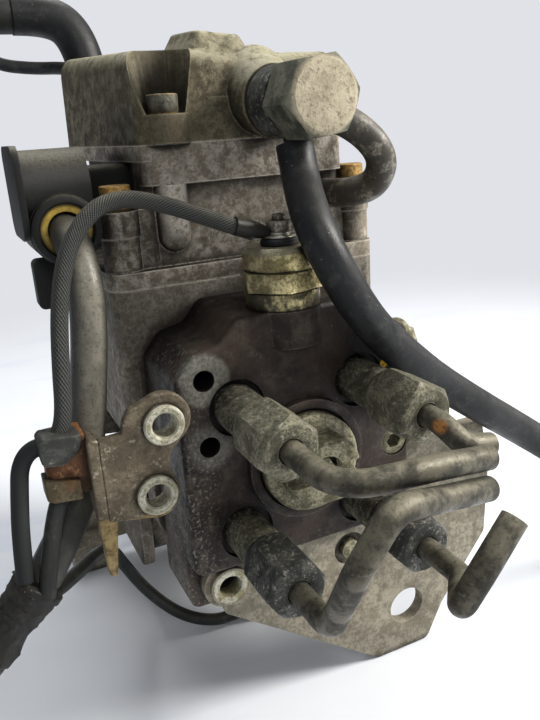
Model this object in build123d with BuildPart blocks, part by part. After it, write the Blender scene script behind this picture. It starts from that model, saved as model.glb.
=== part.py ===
from build123d import *
import os
from math import copysign, pi, radians, tan

# Diesel injection pump of the axial-piston distributor type, in millimetres.
# Origin: drive-shaft axis at the mounting-flange face. +Y runs out along the drive shaft,
# -Y towards the distributor head, +X is right as the head is faced, +Z is up.

os.makedirs("parts", exist_ok=True)

# ---------------------------------------------------------------- driving dimensions
# Clearances
running_gap = 0.05
thread_gap = 0.1
soft_gap = 0.3

# Main housing
flange_t = 12.0
flange_pcd = 96.0
flange_hole_d = 9.0
flange_lobe_r = 11.0
lug_w = 66.0
lug_h = 18.0
lug_drop = 15.0
pilot_d = 50.0
pilot_l = 8.0
housing_l = 116.0
housing_left = 48.5
housing_right = 52.0
body_r = 43.0
deck_z = 55.8
box_bottom_z = 14.0
ring_l = 10.0
rib_t = 6.0
rib_l = 46.0
inlet_x = -22.0
inlet_y = -19.0
inlet_seat_z = 60.0
inlet_boss_d = 18.0
screw_d = 6.0
screw_depth = 14.0
lug_screw_depth = 10.0
chamber_d = 66.0
chamber_l = 66.0
window_w = 24.0
window_l = 26.0

# Drive shaft and vane pump
shaft_d = 20.0
taper_end_d = 17.0
taper_start = 14.0
taper_l = 24.0
stud_d = 14.0
stud_l = 15.0
seal_d = 32.0
seal_l = 7.0
vane_bore_d = 60.0
vane_l = 18.0
rotor_d = 43.0
ring_bore_d = 50.0
ring_offset = 2.5
vane_plate_t = 5.0
vane_t = 2.5
vane_reach = 2.8
claw_disc_t = 5.0
claw_disc_d = 32.0
claw_r = 12.0
claw_w = 7.0
claw_h = 6.0
key_w = 4.0
key_r = 8.0

# Cam drive and timing device
claw_room = 8.0
roller_ring_l = 14.0
roller_ring_d = 64.0
roller_ring_bore = 38.0
roller_d = 11.0
roller_l = 9.0
roller_pin_d = 4.0
cam_gap = 0.4
cam_lift = 2.2
valley_r = 14.0
cam_t = 8.0
cam_d = 58.0
timing_z = -52.0
timing_boss_d = 34.0
timing_bore_d = 26.0
timing_boss_half = 38.0
timing_piston_l = 44.0
timing_stroke = 8.0
piston_rest_x = 4.0
drive_pin_d = 8.0
drive_neck_d = 5.0
pin_lean = 2.0
timing_cover_w = 36.0
timing_cover_t = 5.0
timing_valve_x = 20.0
timing_valve_z = -56.0
timing_valve_d = 22.0
timing_valve_l = 28.0

# Distributor head
head_l = 34.0
head_flange_l = 24.0
head_half = 41.0
head_shoulder = 41.0
head_seat_half = 20.0
head_flange_bottom = -52.0
head_block_bottom = -34.0
spigot_l = 6.0
outlet_pitch = 44.0
screw_head_d = 10.0
screw_head_h = 6.0
socket_af = 5.0
side_plug_back = 12.0
side_plug_z = 28.0
side_plug_d = 17.0
barrel_d = 24.0
plunger_d = 11.0
plunger_l = 50.0
plunger_foot_d = 18.0
tap_hole_d = 6.8
tap_hole_depth = 16.0
tap_x = -32.0
tap_z_low = 11.1
tap_z_high = 32.8

# Delivery valves, nuts and pipes
holder_d = 14.6
holder_l = 16.0
holder_sunk = 19.0
thread_d = 12.0
thread_l = 10.0
nut_af = 17.0
nut_l = 20.8
nut_back_d = 16.0
nut_pipe_gap = 0.4
collar_t = 2.5
nut_face_d = 15.6
pipe_d = 7.0
pipe_bore = 2.2
valve_bore_d = 6.0
valve_l = 12.0
valve_stem_r = 2.0

# Central plug
plug_d = 33.0
plug_t = 8.0
plug_rim_h = 3.5
plug_thread_d = 28.0
plug_thread_l = 8.0
plug_boss_d = 25.0
plug_boss_af = 21.0
plug_boss_l = 8.0
plug_slot_w = 5.0
plug_slot_h = 4.0
vent_af = 8.0
vent_head_h = 5.0

# Stop solenoid
stop_back = 9.0
stop_af = 24.0
stop_seat_z = 50.0
stop_h = 19.0
stop_base_h = 5.5
stop_hex_h = 6.5
stop_shank_d = 12.0
stop_shank_l = 16.0
stop_core_d = 6.0
stop_stroke = 2.0
terminal_ring_d = 14.0
terminal_ring_h = 2.5
terminal_af = 8.0
terminal_nut_h = 4.0

# Quantity adjuster
adj_back = 28.0
adj_base_t = 5.7
tower_inset = 4.0
tower_rear_inset = 2.0
tower_mid_w = 30.0
column_x = -24.5
column_r = 5.5
boss_r = 6.3
bearing_wall = 3.5
bearing_drop = 12.0
stator_z = 68.0
stator_h = 18.0
stator_gap = 0.5
magnet_d = 16.0
pole_half = 22.0
coil_space = 7.0
coil_lap = 2.0
coil_w = 40.0
coil_l = 34.0
coil_h = 25.0
crank_z = 14.0
crank_t = 3.0
crank_d = 16.0
ball_z = 9.5
tower_left = 33.0
tower_right = 40.0
tower_top = 100.6
strip_h = 5.2
band_h = 7.4
column_foot_z = 71.5
adj_wall = 4.0
collar_run = 5.0
adj_shaft_d = 7.0
adj_ball_d = 5.0
adj_throw = 4.0
cover_top = 126.0
cover_flare = 8.0
cover_edge_r = 5.0
cover_wall = 3.5
cover_boss_r = 8.0
niche_flare = 2.6
cover_lug_h = 8.8
cover_pad_h = 8.0
cover_screw_d = 5.0
cover_head_h = 6.0
cover_screw_front = 4.0
cover_screw_side = 26.0
cover_screw_rear = 9.0
bump_x = -2.0
bump_set_back = 20.0
bump_w = 27.0
bump_l = 34.0
bump_top = 131.5
block_w = 36.0
block_top = 113.7
leak_nipple_x = -26.0
leak_nipple_in = 10.0
deck_head_d = 10.0
deck_head_h = 8.0
collar_d = 24.0
collar_l = 12.0
left_boss_x = -41.7
right_boss_x = 45.6
boss_top = 81.0
boss_collar_h = 8.5
boss_collar_t = 0.5

# Return connection
return_x = 9.5
return_z = 111.0
return_boss_d = 23.0
hump_d = 27.2
hump_rise = 4.0
hump_in = 6.0
return_boss_l = 9.0
return_thread_d = 12.0
return_af = 21.5
return_head_l = 17.0
banjo_d = 22.0
banjo_t = 12.0
nipple_reach = 19.0
washer_t = 1.5
return_hose_d = 12.0
nipple_d = 6.5
return_tube_d = 10.0

# Fuel inlet
inlet_af = 17.0
inlet_hex_h = 8.0
inlet_nipple_d = 11.0
inlet_nipple_l = 16.0
inlet_hose_d = 16.0
inlet_end_x = -52.0
inlet_end_l = 14.0
leak_line_d = 5.0

# Adjuster connector and harness
conn_left = -70.0
conn_right = -50.0
conn_set_back = 10.0
conn_z = 89.0
conn_d = 25.0
socket_x = -59.5
socket_z = 77.5
socket_d = 22.0
socket_reach = 13.0
catch_w = 8.0
catch_h = 16.0
catch_drop = 17.5
catch_t = 6.0
seal_ring_l = 7.0
socket_l = 23.0
socket_bore_l = 12.0
seal_ring_d = 17.8
main_cable_d = 11.0
lead_d = 5.0
timing_lead_d = 5.0
timing_exit_in = 7.0
tape_d = 17.0
tape_l = 19.0
tail_d = 13.0
tail_rest_z = -92.6
plug_w = 22.0
plug_block_l = 26.0

# Loose clamp bracket
sheet_t = 3.0
bracket_y = -153.0
bush_d = 12.2
bush_bore = 7.4
bush_l = 7.0
flange_fold = 5.5
clamp_t = 2.0
clamp_right = -69.0
clamp_w = 11.5
clamp_x = clamp_right - clamp_w / 2
clamp_y = -146.8
clamp_depth = 10.4
clamp_z = 8.0
clamp_h = 18.0

# Support plate and drive-end bracket
plate_t = 5.0
plate_hole_d = 15.0
plate_lobe_r = 8.8
plate_bush_d = 14.0
ground_z = -99.5
foot_x = 49.0
foot_w = 16.0
web_z = -88.0
foot_h = 20.0
foot_l = 14.0
drive_bracket_t = 8.0

# Derived places
taper_end = taper_start + taper_l
lug_z = -(body_r + lug_drop - lug_h / 2)
lug_screws = [(-24.0, lug_z), (24.0, lug_z)]
housing_front = -housing_l
chamber_start = housing_l - chamber_l
vane_start = chamber_start - vane_l - vane_plate_t - 1
claw_disc_y = chamber_start + claw_disc_t
roller_ring_start = chamber_start + claw_room
cam_start = roller_ring_start + roller_ring_l + roller_d / 2 + cam_gap
timing_y = -(roller_ring_start + roller_ring_l / 2)
adj_shaft_y = housing_front + spigot_l + collar_run + collar_l / 2
tower_front = housing_front + tower_inset
tower_rear = -adj_back - tower_rear_inset
cover_front = housing_front
cover_rear = -adj_back
pole_front = adj_shaft_y - magnet_d / 2
coil_y = tower_rear - adj_wall - coil_space - coil_l / 2
pole_rear = coil_y - coil_lap
bump_y = cover_front + bump_set_back
cover_screws = [(-24.0, cover_front + cover_screw_front), (-24.5, cover_rear - cover_screw_side),
                (31.5, cover_rear - cover_screw_rear)]
leak_nipple = (leak_nipple_x, cover_rear - leak_nipple_in)
return_boss_y = cover_front - return_boss_l
conn_y = tower_front + conn_set_back
socket_front = conn_y - socket_reach
head_screws_at = [(34.0, 34.0, -(housing_l + head_l)), (36.1, -4.0, -(housing_l + head_l)),
                  (34.0, -41.0, housing_front - head_flange_l),
                  (-14.0, -45.0, housing_front - head_flange_l)]
head_screw_places = [(x, z) for x, z, seat in head_screws_at]
plate_screws = [(19.5, -45.0), (-28.4, -43.0)]
head_face = -(housing_l + head_l)
side_plug_y = head_face + side_plug_back
stop_y = head_face + stop_back
outlets = [(-outlet_pitch / 2, outlet_pitch / 2), (outlet_pitch / 2, outlet_pitch / 2),
           (-outlet_pitch / 2, -outlet_pitch / 2), (outlet_pitch / 2, -outlet_pitch / 2)]
nut_front = head_face - holder_l - 0.2 - nut_l
nut_turns = [20, 35, 5, 12]
timing_seat_y = timing_y - timing_boss_d / 2 - 2
timing_lead_y = timing_seat_y - timing_valve_l + timing_exit_in
timing_exit_z = timing_valve_z - timing_valve_d / 2 - 2
plate_front = housing_front - head_flange_l - plate_t
valve_seat_y = head_face + holder_sunk - 1.5
valve_stop_y = valve_seat_y - valve_l - 4.0
stop_grooves = [stop_seat_z + stop_base_h, stop_seat_z + stop_base_h + stop_hex_h]


def facing(y):
    """Plane seen from the head end: local x is +X, local y is +Z, extrusions go to -Y."""
    return Plane(origin=(0, y, 0), x_dir=(1, 0, 0), z_dir=(0, -1, 0))


def sideways(x):
    """Plane across the pump: local x is +Y, local y is +Z, extrusions go to +X."""
    return Plane(origin=(x, 0, 0), x_dir=(0, 1, 0), z_dir=(1, 0, 0))


def lathe(x, z):
    """Plane for profiles turned about an axis parallel to the drive shaft: (radius, Y)."""
    return Plane(origin=(x, 0, z), x_dir=(1, 0, 0), z_dir=(0, 0, 1))


def turn_axis(x, z):
    return Axis((x, 0, z), (0, 1, 0))


def finish(piece, name):
    piece.part.label = name
    export_step(piece.part, "parts/" + name + ".step")
    return piece


def tube(name, route, radii, outer, bore=0.0):
    """Round tube along straight runs joined by tangent arcs."""
    with BuildPart() as piece:
        with BuildLine() as path:
            FilletPolyline(*route, radius=radii)
        with BuildSketch(Plane(path.line @ 0, z_dir=path.line % 0)):
            Circle(outer / 2)
            if bore > 0:
                Circle(bore / 2, mode=Mode.SUBTRACT)
        sweep(path=path.line)
    length = path.wire().length
    area = pi * (outer ** 2 - bore ** 2) / 4
    share = piece.part.volume / (area * length)
    print(name, "length", round(length, 1), "radii", [round(r, 1) for r in radii],
          "volume/section*length", round(share, 4))
    return piece


def soft_radii(route):
    """Largest tangent arc at each point: 0.45 of the shorter run over tan(half the turn)."""
    points = [Vector(*p) for p in route]
    radii = []
    for before, here, after in zip(points, points[1:], points[2:]):
        run_in = here - before
        run_out = after - here
        turn = radians(run_in.get_angle(run_out))
        radii.append(0.45 * min(run_in.length, run_out.length) / tan(turn / 2))
    return radii


def cover_outline():
    """Plan of the adjuster cover: its left wall runs outwards towards the drive end."""
    FilletPolyline((-tower_left, cover_front), (tower_right, cover_front),
                   (tower_right, cover_rear), (-tower_left - cover_flare, cover_rear),
                   radius=6, close=True)


def cover_rim_edges(piece):
    """Edges round the highest flat face."""
    return piece.faces().sort_by(Axis.Z)[-1].edges()


# ---------------------------------------------------------------- main housing
bolt_start = 90
deck_screw_front = housing_front + 7.5
deck_screw_rear = -adj_back - 6
deck_screws = [(left_boss_x, deck_screw_front), (right_boss_x, deck_screw_front),
               (left_boss_x, deck_screw_rear), (right_boss_x, deck_screw_rear)]
deck_mid_x = (housing_right - housing_left) / 2
deck_mid_y = -(housing_l + adj_back) / 2

with BuildPart() as pump_housing:
    # Cam chamber body
    with BuildSketch(facing(-flange_t)):
        Circle(body_r)
    extrude(amount=housing_l - flange_t)
    # Governor room above it
    with BuildSketch(Plane.XY.offset(box_bottom_z)):
        with Locations((deck_mid_x, deck_mid_y)):
            RectangleRounded(housing_left + housing_right, housing_l - adj_back, 6)
    extrude(amount=deck_z - box_bottom_z)
    # Square ring that carries the distributor head
    with BuildSketch(facing(housing_front + ring_l)):
        RectangleRounded(2 * body_r, 2 * body_r, 16)
    extrude(amount=ring_l)
    # Mounting flange with three lobes
    with BuildSketch(facing(0)):
        Circle(body_r - 4)
        with PolarLocations(flange_pcd / 2, 3, start_angle=bolt_start):
            Circle(flange_lobe_r)
        make_hull()
        with PolarLocations(flange_pcd / 2, 3, start_angle=bolt_start):
            Circle(flange_hole_d / 2, mode=Mode.SUBTRACT)
    extrude(amount=flange_t)
    # Lug under the flange that carries the drive-end bracket
    with BuildSketch(facing(0)):
        with Locations((0, lug_z)):
            RectangleRounded(lug_w, lug_h, 6)
    extrude(amount=flange_t)
    # Pilot
    with BuildSketch(facing(0)):
        Circle(pilot_d / 2)
    extrude(amount=-pilot_l)
    # Timing-device cylinder across the bottom
    with BuildSketch(sideways(-timing_boss_half)):
        with Locations((timing_y, timing_z)):
            Circle(timing_boss_d / 2)
    extrude(amount=2 * timing_boss_half)
    # Seat for the timing solenoid
    with BuildSketch(facing(timing_y)):
        with Locations((timing_valve_x, timing_valve_z)):
            Circle(timing_valve_d / 2)
    extrude(amount=timing_boss_d / 2 + 2)
    # Side ribs from the flange to the cam chamber
    with BuildSketch(Plane.XY.offset(-rib_t / 2)):
        with BuildLine():
            Polyline((body_r - 8, -flange_t), (body_r + 7, -flange_t), (body_r - 2, -rib_l),
                     (body_r - 8, -rib_l), close=True)
        make_face()
        mirror(about=Plane.YZ)
    extrude(amount=rib_t)
    # Inlet boss on the drive end
    with BuildSketch(Plane.XY.offset(inlet_seat_z)):
        with Locations((inlet_x, inlet_y)):
            Circle(inlet_boss_d / 2)
    extrude(amount=-(inlet_seat_z - 20))
    # Bores for the shaft seal and the shaft journal
    with BuildSketch(facing(pilot_l)):
        Circle(seal_d / 2)
    extrude(amount=seal_l, mode=Mode.SUBTRACT)
    with BuildSketch(facing(pilot_l)):
        Circle(shaft_d / 2 + running_gap)
    extrude(amount=pilot_l + vane_start, mode=Mode.SUBTRACT)
    # Vane-pump bore and cam chamber
    with BuildSketch(facing(-vane_start)):
        Circle(vane_bore_d / 2)
    extrude(amount=chamber_start - vane_start, mode=Mode.SUBTRACT)
    with BuildSketch(facing(-chamber_start)):
        Circle(chamber_d / 2)
    extrude(amount=housing_l - chamber_start, mode=Mode.SUBTRACT)
    # Timing bore, and the slot where the drive pin swings
    with BuildSketch(sideways(-timing_boss_half)):
        with Locations((timing_y, timing_z)):
            Circle(timing_bore_d / 2)
    extrude(amount=2 * timing_boss_half, mode=Mode.SUBTRACT)
    with BuildSketch(Plane.XY.offset(timing_z)):
        with Locations((-timing_stroke / 2, timing_y)):
            SlotOverall(timing_stroke + drive_pin_d + 4, drive_pin_d + 2)
    extrude(amount=-timing_z - 20, mode=Mode.SUBTRACT)
    # Window for the adjuster shaft
    with BuildSketch(Plane.XY.offset(deck_z)):
        with Locations((0, adj_shaft_y)):
            RectangleRounded(window_w, window_l, 3)
    extrude(amount=-(deck_z - 20), mode=Mode.SUBTRACT)
    # Tapped holes for the adjuster screws and the bracket screws
    with BuildSketch(Plane.XY.offset(deck_z)):
        with Locations(*deck_screws):
            Circle(screw_d / 2 + thread_gap)
    extrude(amount=-screw_depth, mode=Mode.SUBTRACT)
    with BuildSketch(facing(-flange_t)):
        with Locations(*lug_screws):
            Circle(screw_d / 2 + thread_gap)
    extrude(amount=-lug_screw_depth, mode=Mode.SUBTRACT)
    # Tapped holes for the head screws
    with BuildSketch(facing(housing_front)):
        with Locations(*head_screw_places):
            Circle(screw_d / 2 + thread_gap)
    extrude(amount=-screw_depth, mode=Mode.SUBTRACT)
finish(pump_housing, "pump_housing")

with BuildPart() as shaft_seal:
    with BuildSketch(facing(pilot_l)):
        Circle(seal_d / 2)
        Circle(shaft_d / 2 + running_gap, mode=Mode.SUBTRACT)
    extrude(amount=seal_l)
finish(shaft_seal, "shaft_seal")

# ---------------------------------------------------------------- vane supply pump
with BuildPart() as vane_ring:
    with BuildSketch(facing(-vane_start)):
        Circle(vane_bore_d / 2)
        with Locations((ring_offset, 0)):
            Circle(ring_bore_d / 2, mode=Mode.SUBTRACT)
    extrude(amount=vane_l)
    with BuildSketch(facing(-vane_start - vane_l)):
        Circle(vane_bore_d / 2)
        Circle(shaft_d / 2 + 1, mode=Mode.SUBTRACT)
    extrude(amount=vane_plate_t)
finish(vane_ring, "vane_ring")

with BuildPart() as vane_rotor:
    with BuildSketch(facing(-vane_start - soft_gap)):
        Circle(rotor_d / 2)
        with PolarLocations(rotor_d / 2 - 2, 4):
            Rectangle(vane_reach * 2, vane_t)
        Circle(shaft_d / 2, mode=Mode.SUBTRACT)
    extrude(amount=vane_l - 2 * soft_gap)
finish(vane_rotor, "vane_rotor")

# ---------------------------------------------------------------- drive shaft
with BuildPart() as drive_shaft:
    with BuildSketch(Plane.XY):
        with BuildLine():
            Polyline((0, -claw_disc_y), (claw_disc_d / 2, -claw_disc_y),
                     (claw_disc_d / 2, -chamber_start), (shaft_d / 2, -chamber_start),
                     (shaft_d / 2, taper_start), (taper_end_d / 2, taper_start + taper_l),
                     (stud_d / 2, taper_start + taper_l), (stud_d / 2, taper_end + stud_l - 1),
                     (stud_d / 2 - 1, taper_end + stud_l), (0, taper_end + stud_l), close=True)
        make_face()
    revolve(axis=Axis.Y)
    # Two claws that reach through the roller ring to the cam plate
    with BuildSketch(facing(-claw_disc_y)):
        with PolarLocations(claw_r, 2, start_angle=90):
            Rectangle(claw_w, claw_h)
    extrude(amount=cam_start - claw_disc_y - soft_gap)
    # Woodruff key seat on the taper
    with BuildSketch(sideways(-key_w / 2)):
        with Locations((taper_start + taper_l / 2, taper_end_d / 2 + key_w / 2)):
            Circle(key_r)
    extrude(amount=key_w)
    split(bisect_by=Plane.XY.offset(shaft_d / 2 + 2), keep=Keep.BOTTOM)
finish(drive_shaft, "drive_shaft")

# ---------------------------------------------------------------- roller ring and cam plate
ring_mid = -(roller_ring_start + roller_ring_l / 2)
roller_y = -(roller_ring_start + roller_ring_l)
roller_mid_r = chamber_d / 2 - roller_l / 2 - 2.5

with BuildPart() as roller_ring:
    with BuildSketch(facing(-roller_ring_start)):
        Circle(chamber_d / 2 - running_gap)
        Circle(roller_ring_bore / 2, mode=Mode.SUBTRACT)
    extrude(amount=roller_ring_l)
    # Roller seats, then the four rollers standing in them
    with Locations(Plane(origin=(0, roller_y, 0), x_dir=(1, 0, 0), z_dir=(0, -1, 0))):
        with PolarLocations(roller_mid_r, 4, start_angle=45):
            Cylinder(roller_d / 2 + soft_gap, roller_l + 2, rotation=(0, 90, 0),
                     mode=Mode.SUBTRACT)
            Cylinder(roller_d / 2, roller_l, rotation=(0, 90, 0))
            Cylinder(roller_pin_d / 2, roller_l + 4, rotation=(0, 90, 0))
    # Drive pin with its ball, down into the timing piston
    with BuildSketch(Plane.XY.offset(-roller_ring_bore / 2 - 4)):
        with Locations((0, timing_y)):
            Circle(drive_neck_d / 2)
    extrude(amount=timing_z + roller_ring_bore / 2 + 4)
    with Locations((0, timing_y, timing_z)):
        Sphere(drive_pin_d / 2)
finish(roller_ring, "roller_ring")

with BuildPart() as timing_piston:
    with BuildSketch(sideways(piston_rest_x - timing_piston_l / 2)):
        with Locations((timing_y, timing_z)):
            Circle(timing_bore_d / 2 - running_gap)
    extrude(amount=timing_piston_l)
    with BuildSketch(Plane.XY.offset(timing_z + timing_bore_d / 2)):
        with Locations((0, timing_y)):
            Circle(drive_pin_d / 2 + thread_gap)
    extrude(amount=-(timing_bore_d / 2 + drive_pin_d / 2 + 2), mode=Mode.SUBTRACT)
    # Wider mouth, where the pin leans as the ring turns
    with BuildSketch(Plane.XY.offset(timing_z + timing_bore_d / 2)):
        with Locations((0, timing_y)):
            Circle(drive_pin_d / 2 + pin_lean)
    extrude(amount=-6, mode=Mode.SUBTRACT)
    # Spring pocket in the face away from the pressure side
    with BuildSketch(sideways(piston_rest_x - timing_piston_l / 2)):
        with Locations((timing_y, timing_z)):
            Circle(timing_bore_d / 2 - 5)
    extrude(amount=8, mode=Mode.SUBTRACT)
finish(timing_piston, "timing_piston")

with BuildPart() as cam_plate:
    with BuildSketch(facing(-cam_start)):
        Circle(cam_d / 2)
    extrude(amount=cam_t)
    # Four lobes left between shallow valleys
    with Locations(Plane(origin=(0, -cam_start + valley_r - cam_lift, 0), x_dir=(1, 0, 0),
                         z_dir=(0, -1, 0))):
        with PolarLocations(cam_d / 2, 4):
            Cylinder(valley_r, cam_d / 2 + 10, rotation=(0, 90, 0), mode=Mode.SUBTRACT)
finish(cam_plate, "cam_plate")

with BuildPart() as plunger:
    with BuildSketch(facing(-cam_start - cam_t)):
        Circle(plunger_foot_d / 2)
    extrude(amount=3)
    with BuildSketch(facing(-cam_start - cam_t)):
        Circle(plunger_d / 2)
    extrude(amount=plunger_l)
finish(plunger, "plunger")

with BuildPart() as control_collar:
    with BuildSketch(facing(adj_shaft_y + collar_l / 2)):
        Circle(collar_d / 2)
        Circle(plunger_d / 2 + running_gap, mode=Mode.SUBTRACT)
    extrude(amount=collar_l)
    # Pocket for the eccentric ball
    with BuildSketch(Plane.XY.offset(collar_d / 2)):
        with Locations((adj_throw - 0.5, adj_shaft_y)):
            Rectangle(adj_ball_d + 3, adj_ball_d + 4 * thread_gap)
    extrude(amount=-(collar_d / 2 - plunger_d / 2 - 0.8), mode=Mode.SUBTRACT)
finish(control_collar, "control_collar")

# ---------------------------------------------------------------- distributor head
def head_profile(bottom):
    """Front outline of the head: chamfered shoulders round the bracket holes and the top seat."""
    FilletPolyline((-head_half, bottom), (-head_half, tap_z_high + 1), (tap_x - 3, head_shoulder),
                   (tap_x + 6, head_shoulder + 2), (-head_seat_half, stop_seat_z),
                   (head_seat_half, stop_seat_z), (-tap_x - 4, head_shoulder + 4),
                   (head_half + 1, head_shoulder - 4), (head_half + 1, bottom), radius=4,
                   close=True)


with BuildPart() as distributor_head:
    with BuildSketch(facing(housing_front)):
        with BuildLine():
            head_profile(head_flange_bottom)
        make_face()
    extrude(amount=head_flange_l)
    with BuildSketch(facing(housing_front - head_flange_l)):
        with BuildLine():
            head_profile(head_block_bottom)
        make_face()
    extrude(amount=head_l - head_flange_l)
    front_rim = distributor_head.faces().sort_by(Axis.Y)[0].outer_wire().edges()
    fillet(front_rim, radius=1.5)
    # Seat for the stop solenoid
    with BuildSketch(Plane.XY.offset(stop_seat_z)):
        with Locations((0, stop_y)):
            Circle(stop_af / 2 + 0.5)
    extrude(amount=-12)
    # Spigot in the housing bore
    with BuildSketch(facing(housing_front + spigot_l)):
        Circle(chamber_d / 2 - running_gap)
        Circle(chamber_d / 2 - 7, mode=Mode.SUBTRACT)
    extrude(amount=spigot_l)
    # Raised ring round the central plug
    with BuildSketch(facing(head_face)):
        Circle(plug_d / 2 + 4)
    extrude(amount=plug_rim_h)
    with BuildSketch(facing(head_face - plug_rim_h)):
        Circle(plug_d / 2 + 1)
    extrude(amount=-plug_rim_h, mode=Mode.SUBTRACT)
    # Bore for the barrel and thread for the plug
    with BuildSketch(facing(housing_front + spigot_l)):
        Circle(barrel_d / 2)
    extrude(amount=spigot_l + head_l, mode=Mode.SUBTRACT)
    with BuildSketch(facing(head_face)):
        Circle(plug_thread_d / 2 + thread_gap)
    extrude(amount=-plug_thread_l - 1, mode=Mode.SUBTRACT)
    # Outlets: spot face and threaded bore for each valve holder
    with BuildSketch(facing(head_face)):
        with GridLocations(outlet_pitch, outlet_pitch, 2, 2):
            Circle(holder_d / 2 + 2)
    extrude(amount=-2.5, mode=Mode.SUBTRACT)
    with BuildSketch(facing(head_face)):
        with GridLocations(outlet_pitch, outlet_pitch, 2, 2):
            Circle(holder_d / 2 + thread_gap)
    extrude(amount=-holder_sunk, mode=Mode.SUBTRACT)
    # Tapped holes for the clamp bracket
    with BuildSketch(facing(head_face)):
        with Locations((tap_x, tap_z_low), (tap_x, tap_z_high)):
            Circle(tap_hole_d / 2)
    extrude(amount=-tap_hole_depth, mode=Mode.SUBTRACT)
    # Bore for the stop solenoid
    with BuildSketch(Plane.XY.offset(stop_seat_z)):
        with Locations((0, stop_y)):
            Circle(stop_shank_d / 2 + thread_gap)
    extrude(amount=-stop_shank_l - 1, mode=Mode.SUBTRACT)
    # Counterbored holes for the head screws
    for x, z, seat in head_screws_at:
        with BuildSketch(facing(seat)):
            with Locations((x, z)):
                Circle(screw_head_d / 2 + soft_gap)
        extrude(amount=-screw_head_h, mode=Mode.SUBTRACT)
        with BuildSketch(facing(seat)):
            with Locations((x, z)):
                Circle(screw_d / 2 + thread_gap)
        extrude(amount=-head_l, mode=Mode.SUBTRACT)
    # Tapped holes for the support plate
    with BuildSketch(facing(housing_front - head_flange_l)):
        with Locations(*plate_screws):
            Circle(screw_d / 2 + thread_gap)
    extrude(amount=-screw_depth, mode=Mode.SUBTRACT)
finish(distributor_head, "distributor_head")

with BuildPart() as distributor_barrel:
    with BuildSketch(facing(housing_front + spigot_l - soft_gap)):
        Circle(barrel_d / 2)
        Circle(plunger_d / 2 + running_gap, mode=Mode.SUBTRACT)
    extrude(amount=spigot_l - soft_gap + head_l - plug_thread_l - 2)
finish(distributor_barrel, "distributor_barrel")

# Socket screws of the head, the screw of the support plate and the side plug
with BuildPart() as head_fasteners:
    for x, z, seat in head_screws_at:
        under = seat + screw_head_h
        with BuildSketch(facing(under)):
            with Locations((x, z)):
                Circle(screw_head_d / 2)
        extrude(amount=screw_head_h - 0.5)
        with BuildSketch(facing(seat + 0.5)):
            with Locations((x, z)):
                RegularPolygon(radius=socket_af / 2, side_count=6, major_radius=False)
        extrude(amount=-4, mode=Mode.SUBTRACT)
        with BuildSketch(facing(under)):
            with Locations((x, z)):
                Circle(screw_d / 2)
        extrude(amount=-(housing_front + screw_depth - 1 - under))
    with BuildSketch(facing(plate_front + 2)):
        with Locations(plate_screws[0]):
            Circle(screw_head_d / 2 - 1.5)
    extrude(amount=3)
    with BuildSketch(facing(plate_front + 2)):
        with Locations(plate_screws[0]):
            Circle(screw_d / 2)
    extrude(amount=-(plate_t + 8))
    with BuildSketch(sideways(head_half + 1)):
        with Locations((side_plug_y, side_plug_z)):
            Circle(side_plug_d / 2)
    extrude(amount=6)
    fillet(head_fasteners.edges().filter_by(GeomType.CIRCLE).sort_by(Axis.X)[-1], radius=1.5)
    with BuildSketch(sideways(head_half + 7)):
        with Locations((side_plug_y, side_plug_z)):
            RegularPolygon(radius=side_plug_d / 2 - 3, side_count=6)
    extrude(amount=3)
finish(head_fasteners, "head_fasteners")

# Central plug: flange ring, two-flat boss and an inner recess for the vent screw
with BuildPart() as head_plug:
    with BuildSketch(facing(head_face + plug_thread_l)):
        Circle(plug_thread_d / 2)
    extrude(amount=plug_thread_l)
    with BuildSketch(facing(head_face)):
        Circle(plug_d / 2)
    extrude(amount=plug_t)
    chamfer(head_plug.edges().filter_by(GeomType.CIRCLE).sort_by(Axis.Y)[0], length=1.2)
    with BuildSketch(facing(head_face - plug_t)):
        Circle(plug_boss_d / 2)
        Rectangle(plug_boss_d, plug_boss_af, mode=Mode.INTERSECT)
    extrude(amount=plug_boss_l)
    chamfer(head_plug.faces().sort_by(Axis.Y)[0].edges(), length=1.0)
    with BuildSketch(facing(head_face - plug_t - plug_boss_l)):
        Rectangle(plug_boss_d + 2, plug_slot_w)
    extrude(amount=-plug_slot_h, mode=Mode.SUBTRACT)
    with BuildSketch(facing(head_face - plug_t - plug_boss_l)):
        Circle(vent_af / 2 + 2)
    extrude(amount=-plug_boss_l, mode=Mode.SUBTRACT)
    # Vent screw standing in the recess
    with BuildSketch(facing(head_face - plug_t)):
        RegularPolygon(radius=vent_af / 2, side_count=6, major_radius=False)
    extrude(amount=vent_head_h)
    with BuildSketch(facing(head_face - plug_t - vent_head_h)):
        Circle(2)
    extrude(amount=-2.5, mode=Mode.SUBTRACT)
finish(head_plug, "head_plug")

# ---------------------------------------------------------------- delivery valves and nuts
neck_end = head_face - holder_l
thread_end = neck_end - thread_l
cone_start = thread_end - 0.3

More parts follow.
